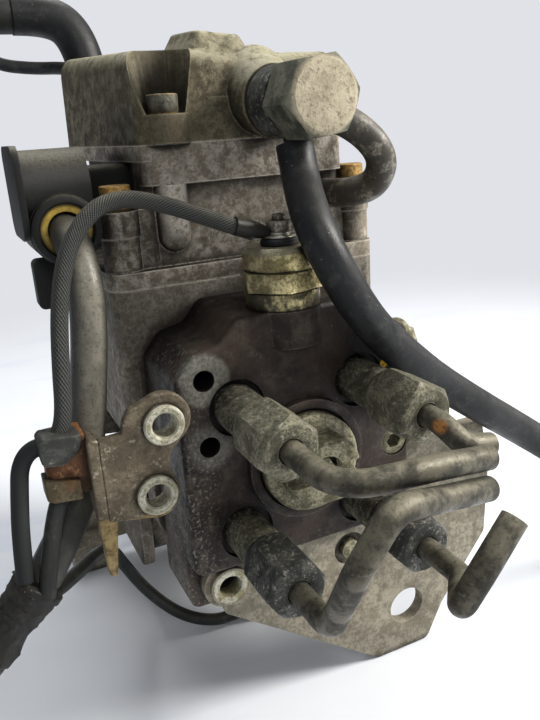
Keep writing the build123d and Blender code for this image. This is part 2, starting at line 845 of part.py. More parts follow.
for number, (x, z) in enumerate(outlets, start=1):
    with BuildPart() as holder:
        with BuildSketch(lathe(x, z)):
            with BuildLine():
                Polyline((valve_bore_d / 2, head_face + holder_sunk - 0.5),
                         (holder_d / 2, head_face + holder_sunk - 0.5),
                         (holder_d / 2, neck_end + 1), (holder_d / 2 - 1, neck_end),
                         (thread_d / 2, neck_end), (thread_d / 2, thread_end + 1),
                         (thread_d / 2 - 1, thread_end), (pipe_bore / 2, thread_end),
                         (pipe_bore / 2, valve_stop_y), (valve_bore_d / 2, valve_stop_y),
                         close=True)
            make_face()
        revolve(axis=turn_axis(x, z))
    finish(holder, f"valve_holder_{number}")

    with BuildPart() as valve:
        with BuildSketch(lathe(x, z)):
            with BuildLine():
                Polyline((0, valve_seat_y), (valve_stem_r, valve_seat_y),
                         (valve_stem_r, valve_seat_y - valve_l / 2),
                         (valve_bore_d / 2 - running_gap, valve_seat_y - valve_l / 2 - 1),
                         (valve_bore_d / 2 - running_gap, valve_seat_y - valve_l),
                         (0, valve_seat_y - valve_l), close=True)
            make_face()
        revolve(axis=turn_axis(x, z))
    finish(valve, f"delivery_valve_{number}")

    with BuildPart() as nut:
        with BuildSketch(facing(neck_end - 0.2)):
            with Locations((x, z)):
                RegularPolygon(radius=nut_af / 2, side_count=6, major_radius=False,
                               rotation=nut_turns[number - 1])
        extrude(amount=nut_l)
        # Chamfer cones at both ends, then the thread bore and the pipe bore
        with BuildSketch(lathe(x, z)):
            with BuildLine():
                Polyline((0, neck_end), (nut_back_d / 2, neck_end),
                         (nut_af / 2 + 2, neck_end - 5), (nut_af / 2 + 2, nut_front + 3.6),
                         (nut_face_d / 2, nut_front), (0, nut_front), close=True)
            make_face()
        revolve(axis=turn_axis(x, z), mode=Mode.INTERSECT)
        with BuildSketch(facing(neck_end)):
            with Locations((x, z)):
                Circle(thread_d / 2 + thread_gap)
        extrude(amount=thread_l + collar_t + 1, mode=Mode.SUBTRACT)
        with BuildSketch(facing(neck_end)):
            with Locations((x, z)):
                Circle(pipe_d / 2 + nut_pipe_gap)
        extrude(amount=nut_l + 5, mode=Mode.SUBTRACT)
    finish(nut, f"union_nut_{number}")

# ---------------------------------------------------------------- cut pressure pipes
# Each pipe leaves its nut along -Y; the first three end side by side where they were sawn.
# Distances are from the head's face.
bend_reach = [61, 43, 54, 53]
pipe_tails = [
    [(4, 62, 21), (26, 58, 16.5)],
    [(25.5, 49.5, 16.5), (34, 50, 15)],
    [(-24, 72, 7), (-14, 72, 20), (2, 66, 14.5), (24.5, 60, 8.5)],
    [(3.5, 75, -11), (7.5, 78, 0), (18, 76.5, 10)],
]
pipe_radii = [[11, 30], [6, 5], [9, 8, 8, 20], [9, 4, 10]]

for number, (x, z) in enumerate(outlets, start=1):
    route = [(x, cone_start, z), (x, head_face - bend_reach[number - 1], z)]
    route += [(along, head_face - out, up) for along, out, up in pipe_tails[number - 1]]
    pipe = tube(f"pipe_{number}", route, pipe_radii[number - 1], pipe_d, pipe_bore)
    # Upset collar that the nut pulls on to the holder's cone
    with BuildPart() as collared:
        add(pipe.part)
        with BuildSketch(facing(cone_start)):
            with Locations((x, z)):
                Circle(thread_d / 2 - 0.8)
                Circle(pipe_d / 2 - 0.6, mode=Mode.SUBTRACT)
        extrude(amount=collar_t)
    finish(collared, f"pipe_{number}")

# ---------------------------------------------------------------- stop solenoid
with BuildPart() as stop_solenoid:
    # Round foot and top, with the spanner hexagon between them
    with BuildSketch(Plane.XY.offset(stop_seat_z)):
        with Locations((0, stop_y)):
            Circle(stop_af / 2)
    extrude(amount=stop_h)
    top_edge = stop_solenoid.edges().filter_by(GeomType.CIRCLE).sort_by(Axis.Z)[-1]
    chamfer(top_edge, length=1.8)
    with BuildSketch(Plane.XY.offset(stop_seat_z + stop_base_h)):
        with Locations((0, stop_y)):
            RegularPolygon(radius=stop_af / 2, side_count=6, major_radius=False, rotation=15)
    extrude(amount=stop_hex_h)
    # Crimp grooves under and over the hexagon
    with BuildSketch(Plane.YZ.offset(0)):
        for groove_z in stop_grooves:
            with Locations((stop_y + stop_af / 2 + 1.2, groove_z)):
                Rectangle(3.4, 0.6)
    revolve(axis=Axis((0, stop_y, 0), (0, 0, 1)), mode=Mode.SUBTRACT)
    with BuildSketch(Plane.XY.offset(stop_seat_z)):
        with Locations((0, stop_y)):
            Circle(stop_shank_d / 2)
    extrude(amount=-stop_shank_l)
    with BuildSketch(Plane.XY.offset(stop_seat_z - stop_shank_l)):
        with Locations((0, stop_y)):
            Circle(stop_core_d / 2 + running_gap)
    extrude(amount=stop_shank_l + stop_base_h + stop_hex_h, mode=Mode.SUBTRACT)
finish(stop_solenoid, "stop_solenoid")

with BuildPart() as stop_plunger:
    with BuildSketch(Plane.XY.offset(stop_seat_z - stop_shank_l)):
        with Locations((0, stop_y)):
            Circle(stop_core_d / 2)
    extrude(amount=stop_shank_l + stop_base_h + stop_hex_h - stop_stroke - 0.5)
    chamfer(stop_plunger.edges().sort_by(Axis.Z)[0], length=1.5)
finish(stop_plunger, "stop_plunger")

stop_top = stop_seat_z + stop_h
with BuildPart() as stop_terminal:
    with BuildSketch(Plane.XY.offset(stop_top)):
        with Locations((0, stop_y)):
            Circle(terminal_ring_d / 2)
    extrude(amount=terminal_ring_h)
    with BuildSketch(Plane.XY.offset(stop_top + terminal_ring_h)):
        with Locations((0, stop_y)):
            Circle(terminal_ring_d / 2 - 1.5)
    extrude(amount=1.2)
    with BuildSketch(Plane.XY.offset(stop_top + terminal_ring_h + 1.2)):
        with Locations((0, stop_y)):
            RegularPolygon(radius=terminal_af / 2, side_count=6, major_radius=False)
    extrude(amount=terminal_nut_h)
    with BuildSketch(Plane.XY.offset(stop_top + terminal_ring_h + 1.2 + terminal_nut_h)):
        with Locations((0, stop_y)):
            Circle(2)
    extrude(amount=1.6)
finish(stop_terminal, "stop_terminal")

# ---------------------------------------------------------------- quantity adjuster
tower_mid_x = (tower_right - tower_left) / 2
tower_w = tower_left + tower_right
tower_mid_y = (tower_front + tower_rear) / 2
tower_d = tower_rear - tower_front
base_top = deck_z + adj_base_t
band_z = tower_top - strip_h - band_h

with BuildPart() as adjuster_housing:
    # Base flange on the deck
    with BuildSketch(Plane.XY.offset(deck_z)):
        with Locations((deck_mid_x, deck_mid_y)):
            RectangleRounded(housing_left + housing_right, housing_l - adj_back, 6)
    extrude(amount=adj_base_t)
    # Tower with its thicker band at the top
    with BuildSketch(Plane.XY.offset(base_top)):
        with Locations((tower_mid_x, tower_mid_y)):
            RectangleRounded(tower_w, tower_d, 5)
    extrude(amount=tower_top - base_top)
    with BuildSketch(Plane.XY.offset(band_z)):
        with Locations((tower_mid_x, (cover_front + cover_rear) / 2)):
            RectangleRounded(tower_w, cover_rear - cover_front, 6)
    extrude(amount=band_h)
    # Strip above the band, as wide as the cover
    with BuildSketch(Plane.XY.offset(tower_top - strip_h)):
        with BuildLine():
            cover_outline()
        make_face()
    extrude(amount=strip_h)
    # Half-round column on the front with a round foot, and the screw bosses at the corners
    with BuildSketch(Plane.XY.offset(column_foot_z)):
        with Locations((column_x, tower_front)):
            Circle(column_r)
    extrude(amount=band_z - column_foot_z)
    with Locations((column_x, tower_front, column_foot_z)):
        Sphere(column_r)
    with BuildSketch(Plane.XY.offset(base_top)):
        for x, y in deck_screws:
            with Locations((x, y)):
                Circle(boss_r)
            with Locations(((x + copysign(tower_mid_w, x)) / 2, y)):
                Rectangle(abs(x) - tower_mid_w, boss_r)
    extrude(amount=boss_top - base_top)
    with BuildSketch(Plane.XY.offset(boss_top - boss_collar_h)):
        with Locations(*deck_screws):
            Circle(boss_r + boss_collar_t)
    extrude(amount=boss_collar_h)
    # Room for the stator, with the window and the shaft bearing in its floor
    with BuildSketch(Plane.XY.offset(base_top)):
        with Locations((tower_mid_x, tower_mid_y)):
            RectangleRounded(tower_w - 2 * adj_wall, tower_d - 2 * adj_wall, 3)
    extrude(amount=tower_top - base_top, mode=Mode.SUBTRACT)
    with BuildSketch(Plane.XY.offset(deck_z)):
        with Locations((0, adj_shaft_y)):
            Circle(adj_shaft_d / 2 + bearing_wall)
    extrude(amount=-bearing_drop)
    with BuildSketch(Plane.XY.offset(base_top)):
        with Locations((0, adj_shaft_y)):
            Circle(adj_shaft_d / 2 + running_gap)
    extrude(amount=-(adj_base_t + bearing_drop), mode=Mode.SUBTRACT)
    # Holes for the long screws
    with BuildSketch(Plane.XY.offset(boss_top)):
        with Locations(*deck_screws):
            Circle(screw_d / 2 + thread_gap)
    extrude(amount=-(boss_top - deck_z), mode=Mode.SUBTRACT)
    with BuildSketch(Plane.XY.offset(tower_top)):
        with Locations(*cover_screws[1:]):
            Circle(cover_boss_r)
    extrude(amount=-cover_pad_h)
    with BuildSketch(Plane.XY.offset(tower_top)):
        with Locations(*cover_screws):
            Circle(cover_screw_d / 2 + thread_gap)
    extrude(amount=-cover_pad_h, mode=Mode.SUBTRACT)
finish(adjuster_housing, "adjuster_housing")

with BuildPart() as adjuster_stator:
    # Pole block, open at the front, with its two poles round the rotor
    with BuildSketch(Plane.XY.offset(stator_z)):
        with Locations((0, (pole_front + pole_rear) / 2)):
            Rectangle(2 * pole_half, pole_rear - pole_front)
        with Locations((0, adj_shaft_y)):
            Circle(magnet_d / 2 + stator_gap, mode=Mode.SUBTRACT)
            with Locations((0, -magnet_d / 2)):
                Rectangle(magnet_d / 2, magnet_d, mode=Mode.SUBTRACT)
    extrude(amount=stator_h)
    # Coil behind the rotor, standing on the floor of the room
    with BuildSketch(Plane.XY.offset(base_top)):
        with Locations((0, coil_y)):
            RectangleRounded(coil_w, coil_l, 6)
    extrude(amount=coil_h)
finish(adjuster_stator, "adjuster_stator")

with BuildPart() as adjuster_rotor:
    with BuildSketch(Plane.XY.offset(crank_z)):
        with Locations((0, adj_shaft_y)):
            Circle(crank_d / 2)
    extrude(amount=crank_t)
    with BuildSketch(Plane.XY.offset(crank_z)):
        with Locations((0, adj_shaft_y)):
            Circle(adj_shaft_d / 2)
    extrude(amount=stator_z + stator_h + 6 - crank_z)
    with BuildSketch(Plane.XY.offset(stator_z - 1)):
        with Locations((0, adj_shaft_y)):
            Circle(magnet_d / 2)
    extrude(amount=stator_h + 2)
    # Eccentric ball that carries the control collar
    with BuildSketch(Plane.XY.offset(crank_z)):
        with Locations((adj_throw, adj_shaft_y)):
            Circle(adj_ball_d / 2 - 1)
    extrude(amount=-(crank_z - ball_z))
    with Locations((adj_throw, adj_shaft_y, ball_z)):
        Sphere(adj_ball_d / 2)
finish(adjuster_rotor, "adjuster_rotor")

with BuildPart() as adjuster_cover:
    with BuildSketch(Plane.XY.offset(tower_top)):
        with BuildLine():
            cover_outline()
        make_face()
    extrude(amount=cover_top - tower_top, taper=2)
    fillet(cover_rim_edges(adjuster_cover), radius=cover_edge_r)
    # Raised pocket on the roof
    with BuildSketch(Plane.XY.offset(cover_top - 3)):
        with Locations((bump_x, bump_y)):
            RectangleRounded(bump_w, bump_l, 8)
    extrude(amount=bump_top - cover_top + 3, taper=32)
    fillet(cover_rim_edges(adjuster_cover), radius=2)
    # Front block and the boss for the return union
    with BuildSketch(Plane.XY.offset(tower_top)):
        with Locations((return_x - 3, cover_front + 5)):
            RectangleRounded(block_w, 10, 2)
    extrude(amount=block_top - tower_top)
    with BuildSketch(facing(cover_front + hump_in)):
        with Locations((return_x, return_z + hump_rise)):
            Circle(hump_d / 2)
    with BuildSketch(facing(return_boss_y)):
        with Locations((return_x, return_z)):
            Circle(return_boss_d / 2)
    loft()
    # Lug for the front cover screw and the nipple of the leak line
    with BuildSketch(Plane.XY.offset(tower_top)):
        with Locations(*cover_screws):
            Circle(cover_boss_r)
    extrude(amount=cover_lug_h)
    with BuildSketch(Plane.XY.offset(cover_top - 3)):
        with Locations(leak_nipple):
            Circle(4)
    extrude(amount=9)
    # Hollow inside, return bore and screw holes
    with BuildSketch(Plane.XY.offset(tower_top)):
        with Locations((tower_mid_x, tower_mid_y)):
            RectangleRounded(tower_w - 2 * adj_wall - 2, tower_d - 2 * adj_wall, 3)
    extrude(amount=cover_top - tower_top - cover_wall, mode=Mode.SUBTRACT)
    with BuildSketch(facing(return_boss_y)):
        with Locations((return_x, return_z)):
            Circle(return_thread_d / 2 + thread_gap)
    extrude(amount=-22, mode=Mode.SUBTRACT)
    # Niches over the screws, each with its own wall; the front one widens to the roof
    with BuildSketch(Plane.XY.offset(tower_top + cover_lug_h)):
        with Locations(*cover_screws):
            Circle(cover_boss_r + niche_flare + cover_wall)
        with Locations((tower_mid_x, tower_mid_y)):
            Rectangle(tower_w - cover_wall, tower_d - cover_wall, mode=Mode.INTERSECT)
    extrude(amount=cover_top - tower_top - cover_lug_h - cover_wall)
    with BuildSketch(Plane.XY.offset(tower_top + cover_lug_h)):
        with Locations(*cover_screws[1:]):
            Circle(cover_boss_r - 1)
    extrude(amount=cover_top - tower_top, mode=Mode.SUBTRACT)
    with BuildSketch(Plane.XY.offset(tower_top + cover_lug_h)):
        with Locations(cover_screws[0]):
            Circle(cover_boss_r - 1)
    extrude(amount=bump_top - tower_top - cover_lug_h, taper=-12, mode=Mode.SUBTRACT)
    with BuildSketch(Plane.XY.offset(tower_top)):
        with Locations(*cover_screws):
            Circle(cover_screw_d / 2 + thread_gap)
    extrude(amount=cover_lug_h, mode=Mode.SUBTRACT)
finish(adjuster_cover, "adjuster_cover")

with BuildPart() as adjuster_screws:
    for x, y in deck_screws:
        with BuildSketch(Plane.XY.offset(boss_top)):
            with Locations((x, y)):
                Circle(deck_head_d / 2)
        extrude(amount=deck_head_h)
        with BuildSketch(Plane.XY.offset(boss_top)):
            with Locations((x, y)):
                Circle(screw_d / 2)
        extrude(amount=-(boss_top - deck_z + screw_depth - 2))
    for x, y in cover_screws:
        with BuildSketch(Plane.XY.offset(tower_top + cover_lug_h)):
            with Locations((x, y)):
                Circle(cover_screw_d)
        extrude(amount=cover_head_h)
        with BuildSketch(Plane.XY.offset(tower_top + cover_lug_h)):
            with Locations((x, y)):
                Circle(cover_screw_d / 2)
        extrude(amount=-(cover_lug_h + cover_pad_h - 1))
finish(adjuster_screws, "adjuster_screws")

# ---------------------------------------------------------------- return union
banjo_y = return_boss_y - washer_t
hex_y = banjo_y - banjo_t - washer_t
banjo_mid = Vector(return_x, banjo_y - banjo_t / 2, return_z)
hose_out = Vector(0, -3.5, -12.5).normalized()
tube_out = Vector(10.5, -1, -3.5).normalized()

with BuildPart() as return_bolt:
    with BuildSketch(facing(hex_y)):
        with Locations((return_x, return_z)):
            RegularPolygon(radius=return_af / 2, side_count=6, major_radius=False, rotation=8)
    extrude(amount=return_head_l)
    with BuildSketch(lathe(return_x, return_z)):
        with BuildLine():
            Polyline((0, hex_y), (return_af / 2 + 3, hex_y),
                     (return_af / 2 + 3, hex_y - return_head_l + 3),
                     (return_af / 2 - 1, hex_y - return_head_l), (0, hex_y - return_head_l),
                     close=True)
        make_face()
    revolve(axis=turn_axis(return_x, return_z), mode=Mode.INTERSECT)
    with BuildSketch(facing(hex_y)):
        with Locations((return_x, return_z)):
            Circle(return_thread_d / 2)
    extrude(amount=-(return_boss_y - hex_y + 8))
finish(return_bolt, "return_bolt")

with BuildPart() as return_banjo:
    with BuildSketch(facing(banjo_y)):
        with Locations((return_x, return_z)):
            Circle(banjo_d / 2)
    extrude(amount=banjo_t)
    # Sealing washers on both sides of the eye
    with BuildSketch(facing(return_boss_y)):
        with Locations((return_x, return_z)):
            Circle(banjo_d / 2 - 1.2)
    extrude(amount=banjo_t + 2 * washer_t)
    # Nipples for the hose and for the short tube
    with BuildSketch(Plane(banjo_mid, z_dir=hose_out)):
        Circle(nipple_d / 2)
    extrude(amount=nipple_reach)
    with BuildSketch(Plane(banjo_mid, z_dir=tube_out)):
        Circle(nipple_d / 2)
    extrude(amount=nipple_reach)
    with BuildSketch(facing(return_boss_y)):
        with Locations((return_x, return_z)):
            Circle(return_thread_d / 2 + thread_gap)
    extrude(amount=banjo_t + 2 * washer_t, mode=Mode.SUBTRACT)
finish(return_banjo, "return_banjo")

return_route = [tuple(banjo_mid + hose_out * (banjo_d / 2 + 2.5)),
                tuple(banjo_mid + hose_out * 24), (4.3, -153.6, 78.4), (6.8, -159.1, 66.9),
                (13.4, -160, 54.5), (22, -158.8, 42.5), (34, -157.5, 31), (50, -155, 17.5),
                (70, -153, 3), (93, -152, -13), (119, -152, -32), (145, -151, -52),
                (169, -149, -70), (193, -146, -85),
                (217, -142, ground_z + return_hose_d / 2 + 0.1)]
return_hose = tube("return_hose", return_route, soft_radii(return_route), return_hose_d,
                   nipple_d + 2 * thread_gap)
finish(return_hose, "return_hose")

short_route = [tuple(banjo_mid + tube_out * (banjo_d / 2 + 1)),
               tuple(banjo_mid + tube_out * 23), (40.5, -139, 93), (41, -134, 83),
               (33, -126, 80), (33, tower_front, 80)]
return_tube = tube("return_tube", short_route, soft_radii(short_route), return_tube_d,
                   nipple_d + 2 * thread_gap)
finish(return_tube, "return_tube")

# ---------------------------------------------------------------- fuel inlet
with BuildPart() as inlet_fitting:
    with BuildSketch(Plane.XY.offset(inlet_seat_z)):
        with Locations((inlet_x, inlet_y)):
            RegularPolygon(radius=inlet_af / 2, side_count=6, major_radius=False)
    extrude(amount=inlet_hex_h)
    with BuildSketch(Plane.XY.offset(inlet_seat_z + inlet_hex_h)):
        with Locations((inlet_x, inlet_y)):
            Circle(inlet_nipple_d / 2)
    extrude(amount=inlet_nipple_l)
finish(inlet_fitting, "inlet_fitting")

inlet_route = [(inlet_x, inlet_y, inlet_seat_z + inlet_hex_h + 1), (inlet_x, inlet_y, 98),
               (-24, -15.5, 126), (-27.5, -12, 146), (-38, -11, 153), (inlet_end_x, -11, 153)]
inlet_hose = tube("inlet_hose", inlet_route, [60, 50, 12, 12], inlet_hose_d,
                  inlet_nipple_d + 2 * thread_gap)
finish(inlet_hose, "inlet_hose")

leak_root = Vector(-58, -11, 153)
leak_out = Vector(-0.45, 0, -0.89).normalized()
with BuildPart() as inlet_end:
    with BuildSketch(sideways(inlet_end_x)):
        with Locations((-11, 153)):
            Circle(inlet_hose_d / 2 - 0.5)
    extrude(amount=-inlet_end_l)
    fillet(inlet_end.edges().filter_by(GeomType.CIRCLE).sort_by(Axis.X)[0], radius=1.5)
    with BuildSketch(sideways(inlet_end_x)):
        with Locations((-11, 153)):
            Circle(inlet_nipple_d / 2)
    extrude(amount=8)
    # Nipple for the leak line
    with BuildSketch(Plane(leak_root, z_dir=leak_out)):
        Circle(leak_line_d / 2)
    extrude(amount=10)
finish(inlet_end, "inlet_end")

leak_route = [tuple(leak_root + leak_out * 10), tuple(leak_root + leak_out * 15),
              (-60.5, -12, 134), (-46, -15, 132),
              (-36, -22, cover_top + 5.5),
              (leak_nipple[0] - 1.6, leak_nipple[1] + 2.5, cover_top + 3)]
leak_line = tube("leak_line", leak_route, soft_radii(leak_route), leak_line_d)
finish(leak_line, "leak_line")

# ---------------------------------------------------------------- adjuster connector
with BuildPart() as connector:
    with BuildSketch(sideways(conn_left)):
        with Locations((conn_y, conn_z)):
            Circle(conn_d / 2)
    extrude(amount=conn_right - conn_left)
    with BuildSketch(sideways(conn_left)):
        with Locations((conn_y, conn_z)):
            RectangleRounded(conn_d + 3, conn_d + 3, 5)
    extrude(amount=-2)
    # Neck that reaches into the tower wall
    with BuildSketch(sideways(conn_right)):
        with Locations((conn_y + 12, conn_z - 2)):
            RectangleRounded(16, 16, 3)
    extrude(amount=-tower_left - conn_right)
    # Socket for the cable seal
    with BuildSketch(facing(socket_front + socket_l)):
        with Locations((socket_x, socket_z)):
            Circle(socket_d / 2)
    extrude(amount=socket_l)
    with BuildSketch(facing(socket_front)):
        with Locations((socket_x, socket_z)):
            Circle(seal_ring_d / 2)
    extrude(amount=-socket_bore_l, mode=Mode.SUBTRACT)
    # Catch under the body
    with BuildSketch(facing(conn_y + 2)):
        with Locations((conn_left + catch_w / 2, socket_z - catch_drop)):
            RectangleRounded(catch_w, catch_h, 2)
    extrude(amount=catch_t)
finish(connector, "connector")

with BuildPart() as connector_seal:
    with BuildSketch(facing(socket_front + seal_ring_l - 1)):
        with Locations((socket_x, socket_z)):
            Circle(seal_ring_d / 2)
            Circle(main_cable_d / 2 + running_gap, mode=Mode.SUBTRACT)
    extrude(amount=seal_ring_l)
finish(connector_seal, "connector_seal")

# ---------------------------------------------------------------- harness
main_route = [(socket_x, socket_front + socket_bore_l - 1, socket_z),
              (socket_x, -121.5, socket_z), (-58.5, -129.5, 62), (-60.2, -131.5, 48),
              (-62.9, -133.7, 33.5), (-65.4, -133.5, 17.7), (-70.4, -137, 0.7),
              (-79.5, -146, -9), (-88, -150, -18.5)]
main_radii = [10] + soft_radii(main_route)[1:]
main_cable = tube("main_cable", main_route, main_radii, main_cable_d)
finish(main_cable, "main_cable")

# The lead runs from the solenoid through the clamp down to the taped joint
lead_route = [(-9, stop_y, 73.6), (-15, -141.5, 76), (-24, -138, 80), (-35, -135, 84.5),
              (-45, -134, 87), (-54, -135.5, 85.5), (-61, -137, 79), (-65.5, -138.5, 71),
              (-69, -141, 59), (-71.3, -144.5, 45), (-73.2, -148, 29), (-77.5, -148.5, 23),
              (-83, -148, 23.5), (-87, -148.5, 19.5), (-88.5, -149, 11), (-90.5, -152, -1),
              (-91.5, -155.3, -12.8)]
solenoid_lead = tube("solenoid_lead", lead_route, soft_radii(lead_route), lead_d)
finish(solenoid_lead, "solenoid_lead")

timing_route = [(timing_valve_x, timing_lead_y, timing_exit_z),
                (timing_valve_x, timing_lead_y, -80), (9, -101, -92), (-8, -96, -95.5), (-20, -97, -95),
                (-33, -92, -90), (-44, -84, -79), (-51, -80, -66), (-57, -90, -50),
                (-65, -106, -41), (-74, -122, -36), (-84, -136, -32), (-95, -146, -27)]
timing_lead = tube("timing_lead", timing_route, soft_radii(timing_route), timing_lead_d)
finish(timing_lead, "timing_lead")

# Earth lead from the back of the clamp to the taped joint
earth_route = [(-74, -146, 12), (-77.5, -149, 8.5), (-81, -151, 1), (-84.5, -155.6, -9),
               (-87, -158.1, -17.8)]
earth_lead = tube("earth_lead", earth_route, soft_radii(earth_route), timing_lead_d)
finish(earth_lead, "earth_lead")

# Taped joint, then the braided tail that runs down to the table
tape_start = Vector(-87.2, -152, -15.8)
tape_run = Vector(-0.7, -0.02, -0.71).normalized()
tail_start = tape_start + tape_run * tape_l
tail_route = [tuple(tail_start - tape_run), (-109, -149, -40), (-124, -142, -62),
              (-142, -134, -81), (-165, -124, tail_rest_z), (-190, -112, tail_rest_z)]
tail = tube("harness_tail", tail_route, soft_radii(tail_route), tail_d)
with BuildPart() as harness_tail:
    add(tail.part)
    with BuildSketch(Plane(tape_start, z_dir=tape_run)):
        Circle(tape_d / 2)
    extrude(amount=tape_l, taper=4)
finish(harness_tail, "harness_tail")

with BuildPart() as harness_plug:
    with BuildSketch(Plane(origin=(-190, -112, tail_rest_z), z_dir=(-25, 12, 0))):
        Circle(tail_d / 2 - 0.2)
    extrude(amount=8)
    with BuildSketch(Plane(origin=(-197, -108.64, tail_rest_z), x_dir=(12, 25, 0),
                           z_dir=(-25, 12, 0))):
        RectangleRounded(plug_w, 2 * (tail_rest_z - ground_z) - 0.4, 3)
    extrude(amount=plug_block_l)
finish(harness_plug, "harness_plug")

# ---------------------------------------------------------------- clamp and its bracket
with BuildPart() as harness_clamp:
    # Rubber-lined strap folded round the leads
    with BuildSketch(Plane.XY.offset(clamp_z)):
        with Locations((clamp_x, clamp_y)):
            Rectangle(clamp_w, clamp_depth)
    extrude(amount=clamp_h)
    fillet(harness_clamp.edges().filter_by(Axis.Z).sort_by(Axis.X)[:2], radius=clamp_t)
finish(harness_clamp, "harness_clamp")

bush_low = (-51.7, 3.7)
bush_high = (-47.4, 25.0)

with BuildPart() as clamp_bracket:
    # Sheet with two bush lobes, an upper arm and the folded edge by the clamp
    with BuildSketch(facing(bracket_y)):
        with BuildLine():
            FilletPolyline((-66.2, 24.2), (-60, 24), (-57.5, 34), (-51, 36.5), (-39, 33),
                           (-39, 20), (-46, 15), (-43.5, 5), (-47, -3), (-66, -1),
                           radius=2, close=True)
        make_face()
    extrude(amount=sheet_t)
    with BuildSketch(facing(bracket_y + flange_fold)):
        with Locations((clamp_right + sheet_t / 2, 12)):
            Rectangle(sheet_t, 24)
    extrude(amount=flange_fold + sheet_t)
    # Tongue that hangs from the fold
    with BuildSketch(facing(bracket_y + 5)):
        with BuildLine():
            Polyline((-69, 0.5), (-62.8, 0.5), (-63, -3), (-65.5, -22), (-67.8, -22),
                     close=True)
        make_face()
    extrude(amount=4)
    # Bushes
    with BuildSketch(facing(bracket_y + 2)):
        with Locations(bush_low, bush_high):
            Circle(bush_d / 2)
    extrude(amount=bush_l)
    with BuildSketch(facing(bracket_y + 2)):
        with Locations(bush_low, bush_high):
            Circle(bush_bore / 2)
    extrude(amount=bush_l, mode=Mode.SUBTRACT)
finish(clamp_bracket, "clamp_bracket")

# ---------------------------------------------------------------- support plate
with BuildPart() as support_plate:
    with BuildSketch(facing(plate_front + plate_t)):
        with BuildLine():
            FilletPolyline((44, -8), (80, -8), (84, -30), (83, -58), (62, -85),
                           (55, ground_z), (31, ground_z), (-3, -74.5), (-31, -54),
                           (-30, -34.3), (3.4, -35), (44, -35), radius=4, close=True)
        make_face()
        with Locations(plate_screws[1]):
            Circle(plate_lobe_r)
    extrude(amount=plate_t)
    with BuildSketch(facing(plate_front + plate_t)):
        with Locations((44.9, -79.8)):
            Circle(plate_hole_d / 2)
        with Locations(plate_screws[1]):
            Circle(plate_bush_d / 2 - 3)
    extrude(amount=plate_t, mode=Mode.SUBTRACT)
    # Recess over the plate screw, and the bush at the left end
    with BuildSketch(facing(plate_front)):
        with Locations(plate_screws[0]):
            Circle(6.3)
    extrude(amount=-2, mode=Mode.SUBTRACT)
    with BuildSketch(facing(plate_front)):
        with Locations(plate_screws[0]):
            Circle(screw_d / 2 + thread_gap)
    extrude(amount=-plate_t, mode=Mode.SUBTRACT)
    with BuildSketch(facing(plate_front)):
        with Locations(plate_screws[1]):
            Circle(plate_bush_d / 2)
            Circle(plate_bush_d / 2 - 3, mode=Mode.SUBTRACT)
    extrude(amount=2)
finish(support_plate, "support_plate")

# ---------------------------------------------------------------- drive-end bracket
with BuildPart() as drive_bracket:
    with BuildSketch(facing(-flange_t)):
        with BuildLine():
            Polyline((0, -body_r - 1.5), (lug_w / 2, -body_r - 1.5),
                     (foot_x + foot_w, ground_z + foot_h), (foot_x + foot_w, ground_z),
                     (foot_x, ground_z), (foot_x - 6, web_z), (0, web_z), close=True)
        make_face()
        mirror(about=Plane.YZ)
    extrude(amount=drive_bracket_t)
    with BuildSketch(facing(-flange_t)):
        with Locations((foot_x + foot_w / 2, ground_z + foot_h / 2),
                       (-foot_x - foot_w / 2, ground_z + foot_h / 2)):
            Rectangle(foot_w, foot_h)
    extrude(amount=foot_l)
    # Screws into the lug
    with BuildSketch(facing(-flange_t - drive_bracket_t)):
        with Locations(*lug_screws):
            RegularPolygon(radius=5, side_count=6, major_radius=False)
    extrude(amount=4)
    with BuildSketch(facing(-flange_t)):
        with Locations(*lug_screws):
            Circle(screw_d / 2)
    extrude(amount=-lug_screw_depth + 1)
finish(drive_bracket, "drive_bracket")

# ---------------------------------------------------------------- timing device outside
with BuildPart() as timing_covers:
    for x in (timing_boss_half, -timing_boss_half - timing_cover_t):
        with BuildSketch(sideways(x)):
            with Locations((timing_y, timing_z)):
                RectangleRounded(timing_cover_w, timing_cover_w, 6)
        extrude(amount=timing_cover_t)
finish(timing_covers, "timing_covers")

with BuildPart() as timing_solenoid:
    with BuildSketch(facing(timing_seat_y)):
        with Locations((timing_valve_x, timing_valve_z)):
            Circle(timing_valve_d / 2)
    extrude(amount=timing_valve_l)
    fillet(timing_solenoid.edges().filter_by(GeomType.CIRCLE).sort_by(Axis.Y)[0], radius=2)
    with BuildSketch(Plane.XY.offset(timing_exit_z)):
        with Locations((timing_valve_x, timing_lead_y)):
            Circle(timing_lead_d / 2 + 1.5)
    extrude(amount=8)
finish(timing_solenoid, "timing_solenoid")
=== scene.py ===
import math

import bpy
from mathutils import Matrix, Vector


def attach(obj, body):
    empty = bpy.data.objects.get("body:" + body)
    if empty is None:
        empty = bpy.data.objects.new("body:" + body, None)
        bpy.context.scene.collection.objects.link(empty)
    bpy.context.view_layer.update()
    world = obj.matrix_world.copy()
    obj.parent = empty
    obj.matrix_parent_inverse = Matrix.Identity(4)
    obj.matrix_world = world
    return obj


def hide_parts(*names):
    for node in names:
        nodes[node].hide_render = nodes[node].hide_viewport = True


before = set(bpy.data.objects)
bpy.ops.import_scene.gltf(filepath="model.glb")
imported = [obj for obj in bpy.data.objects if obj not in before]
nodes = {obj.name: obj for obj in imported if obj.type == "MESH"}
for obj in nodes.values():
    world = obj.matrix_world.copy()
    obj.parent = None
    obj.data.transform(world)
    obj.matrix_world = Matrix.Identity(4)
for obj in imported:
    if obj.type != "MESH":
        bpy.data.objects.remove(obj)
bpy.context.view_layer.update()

# Dressing of the injection pump. Metres, +Z up, -Y is the distributor-head side.
bpy.ops.object.select_all(action="DESELECT")
mm = 0.001
mergeReach = 0.00001
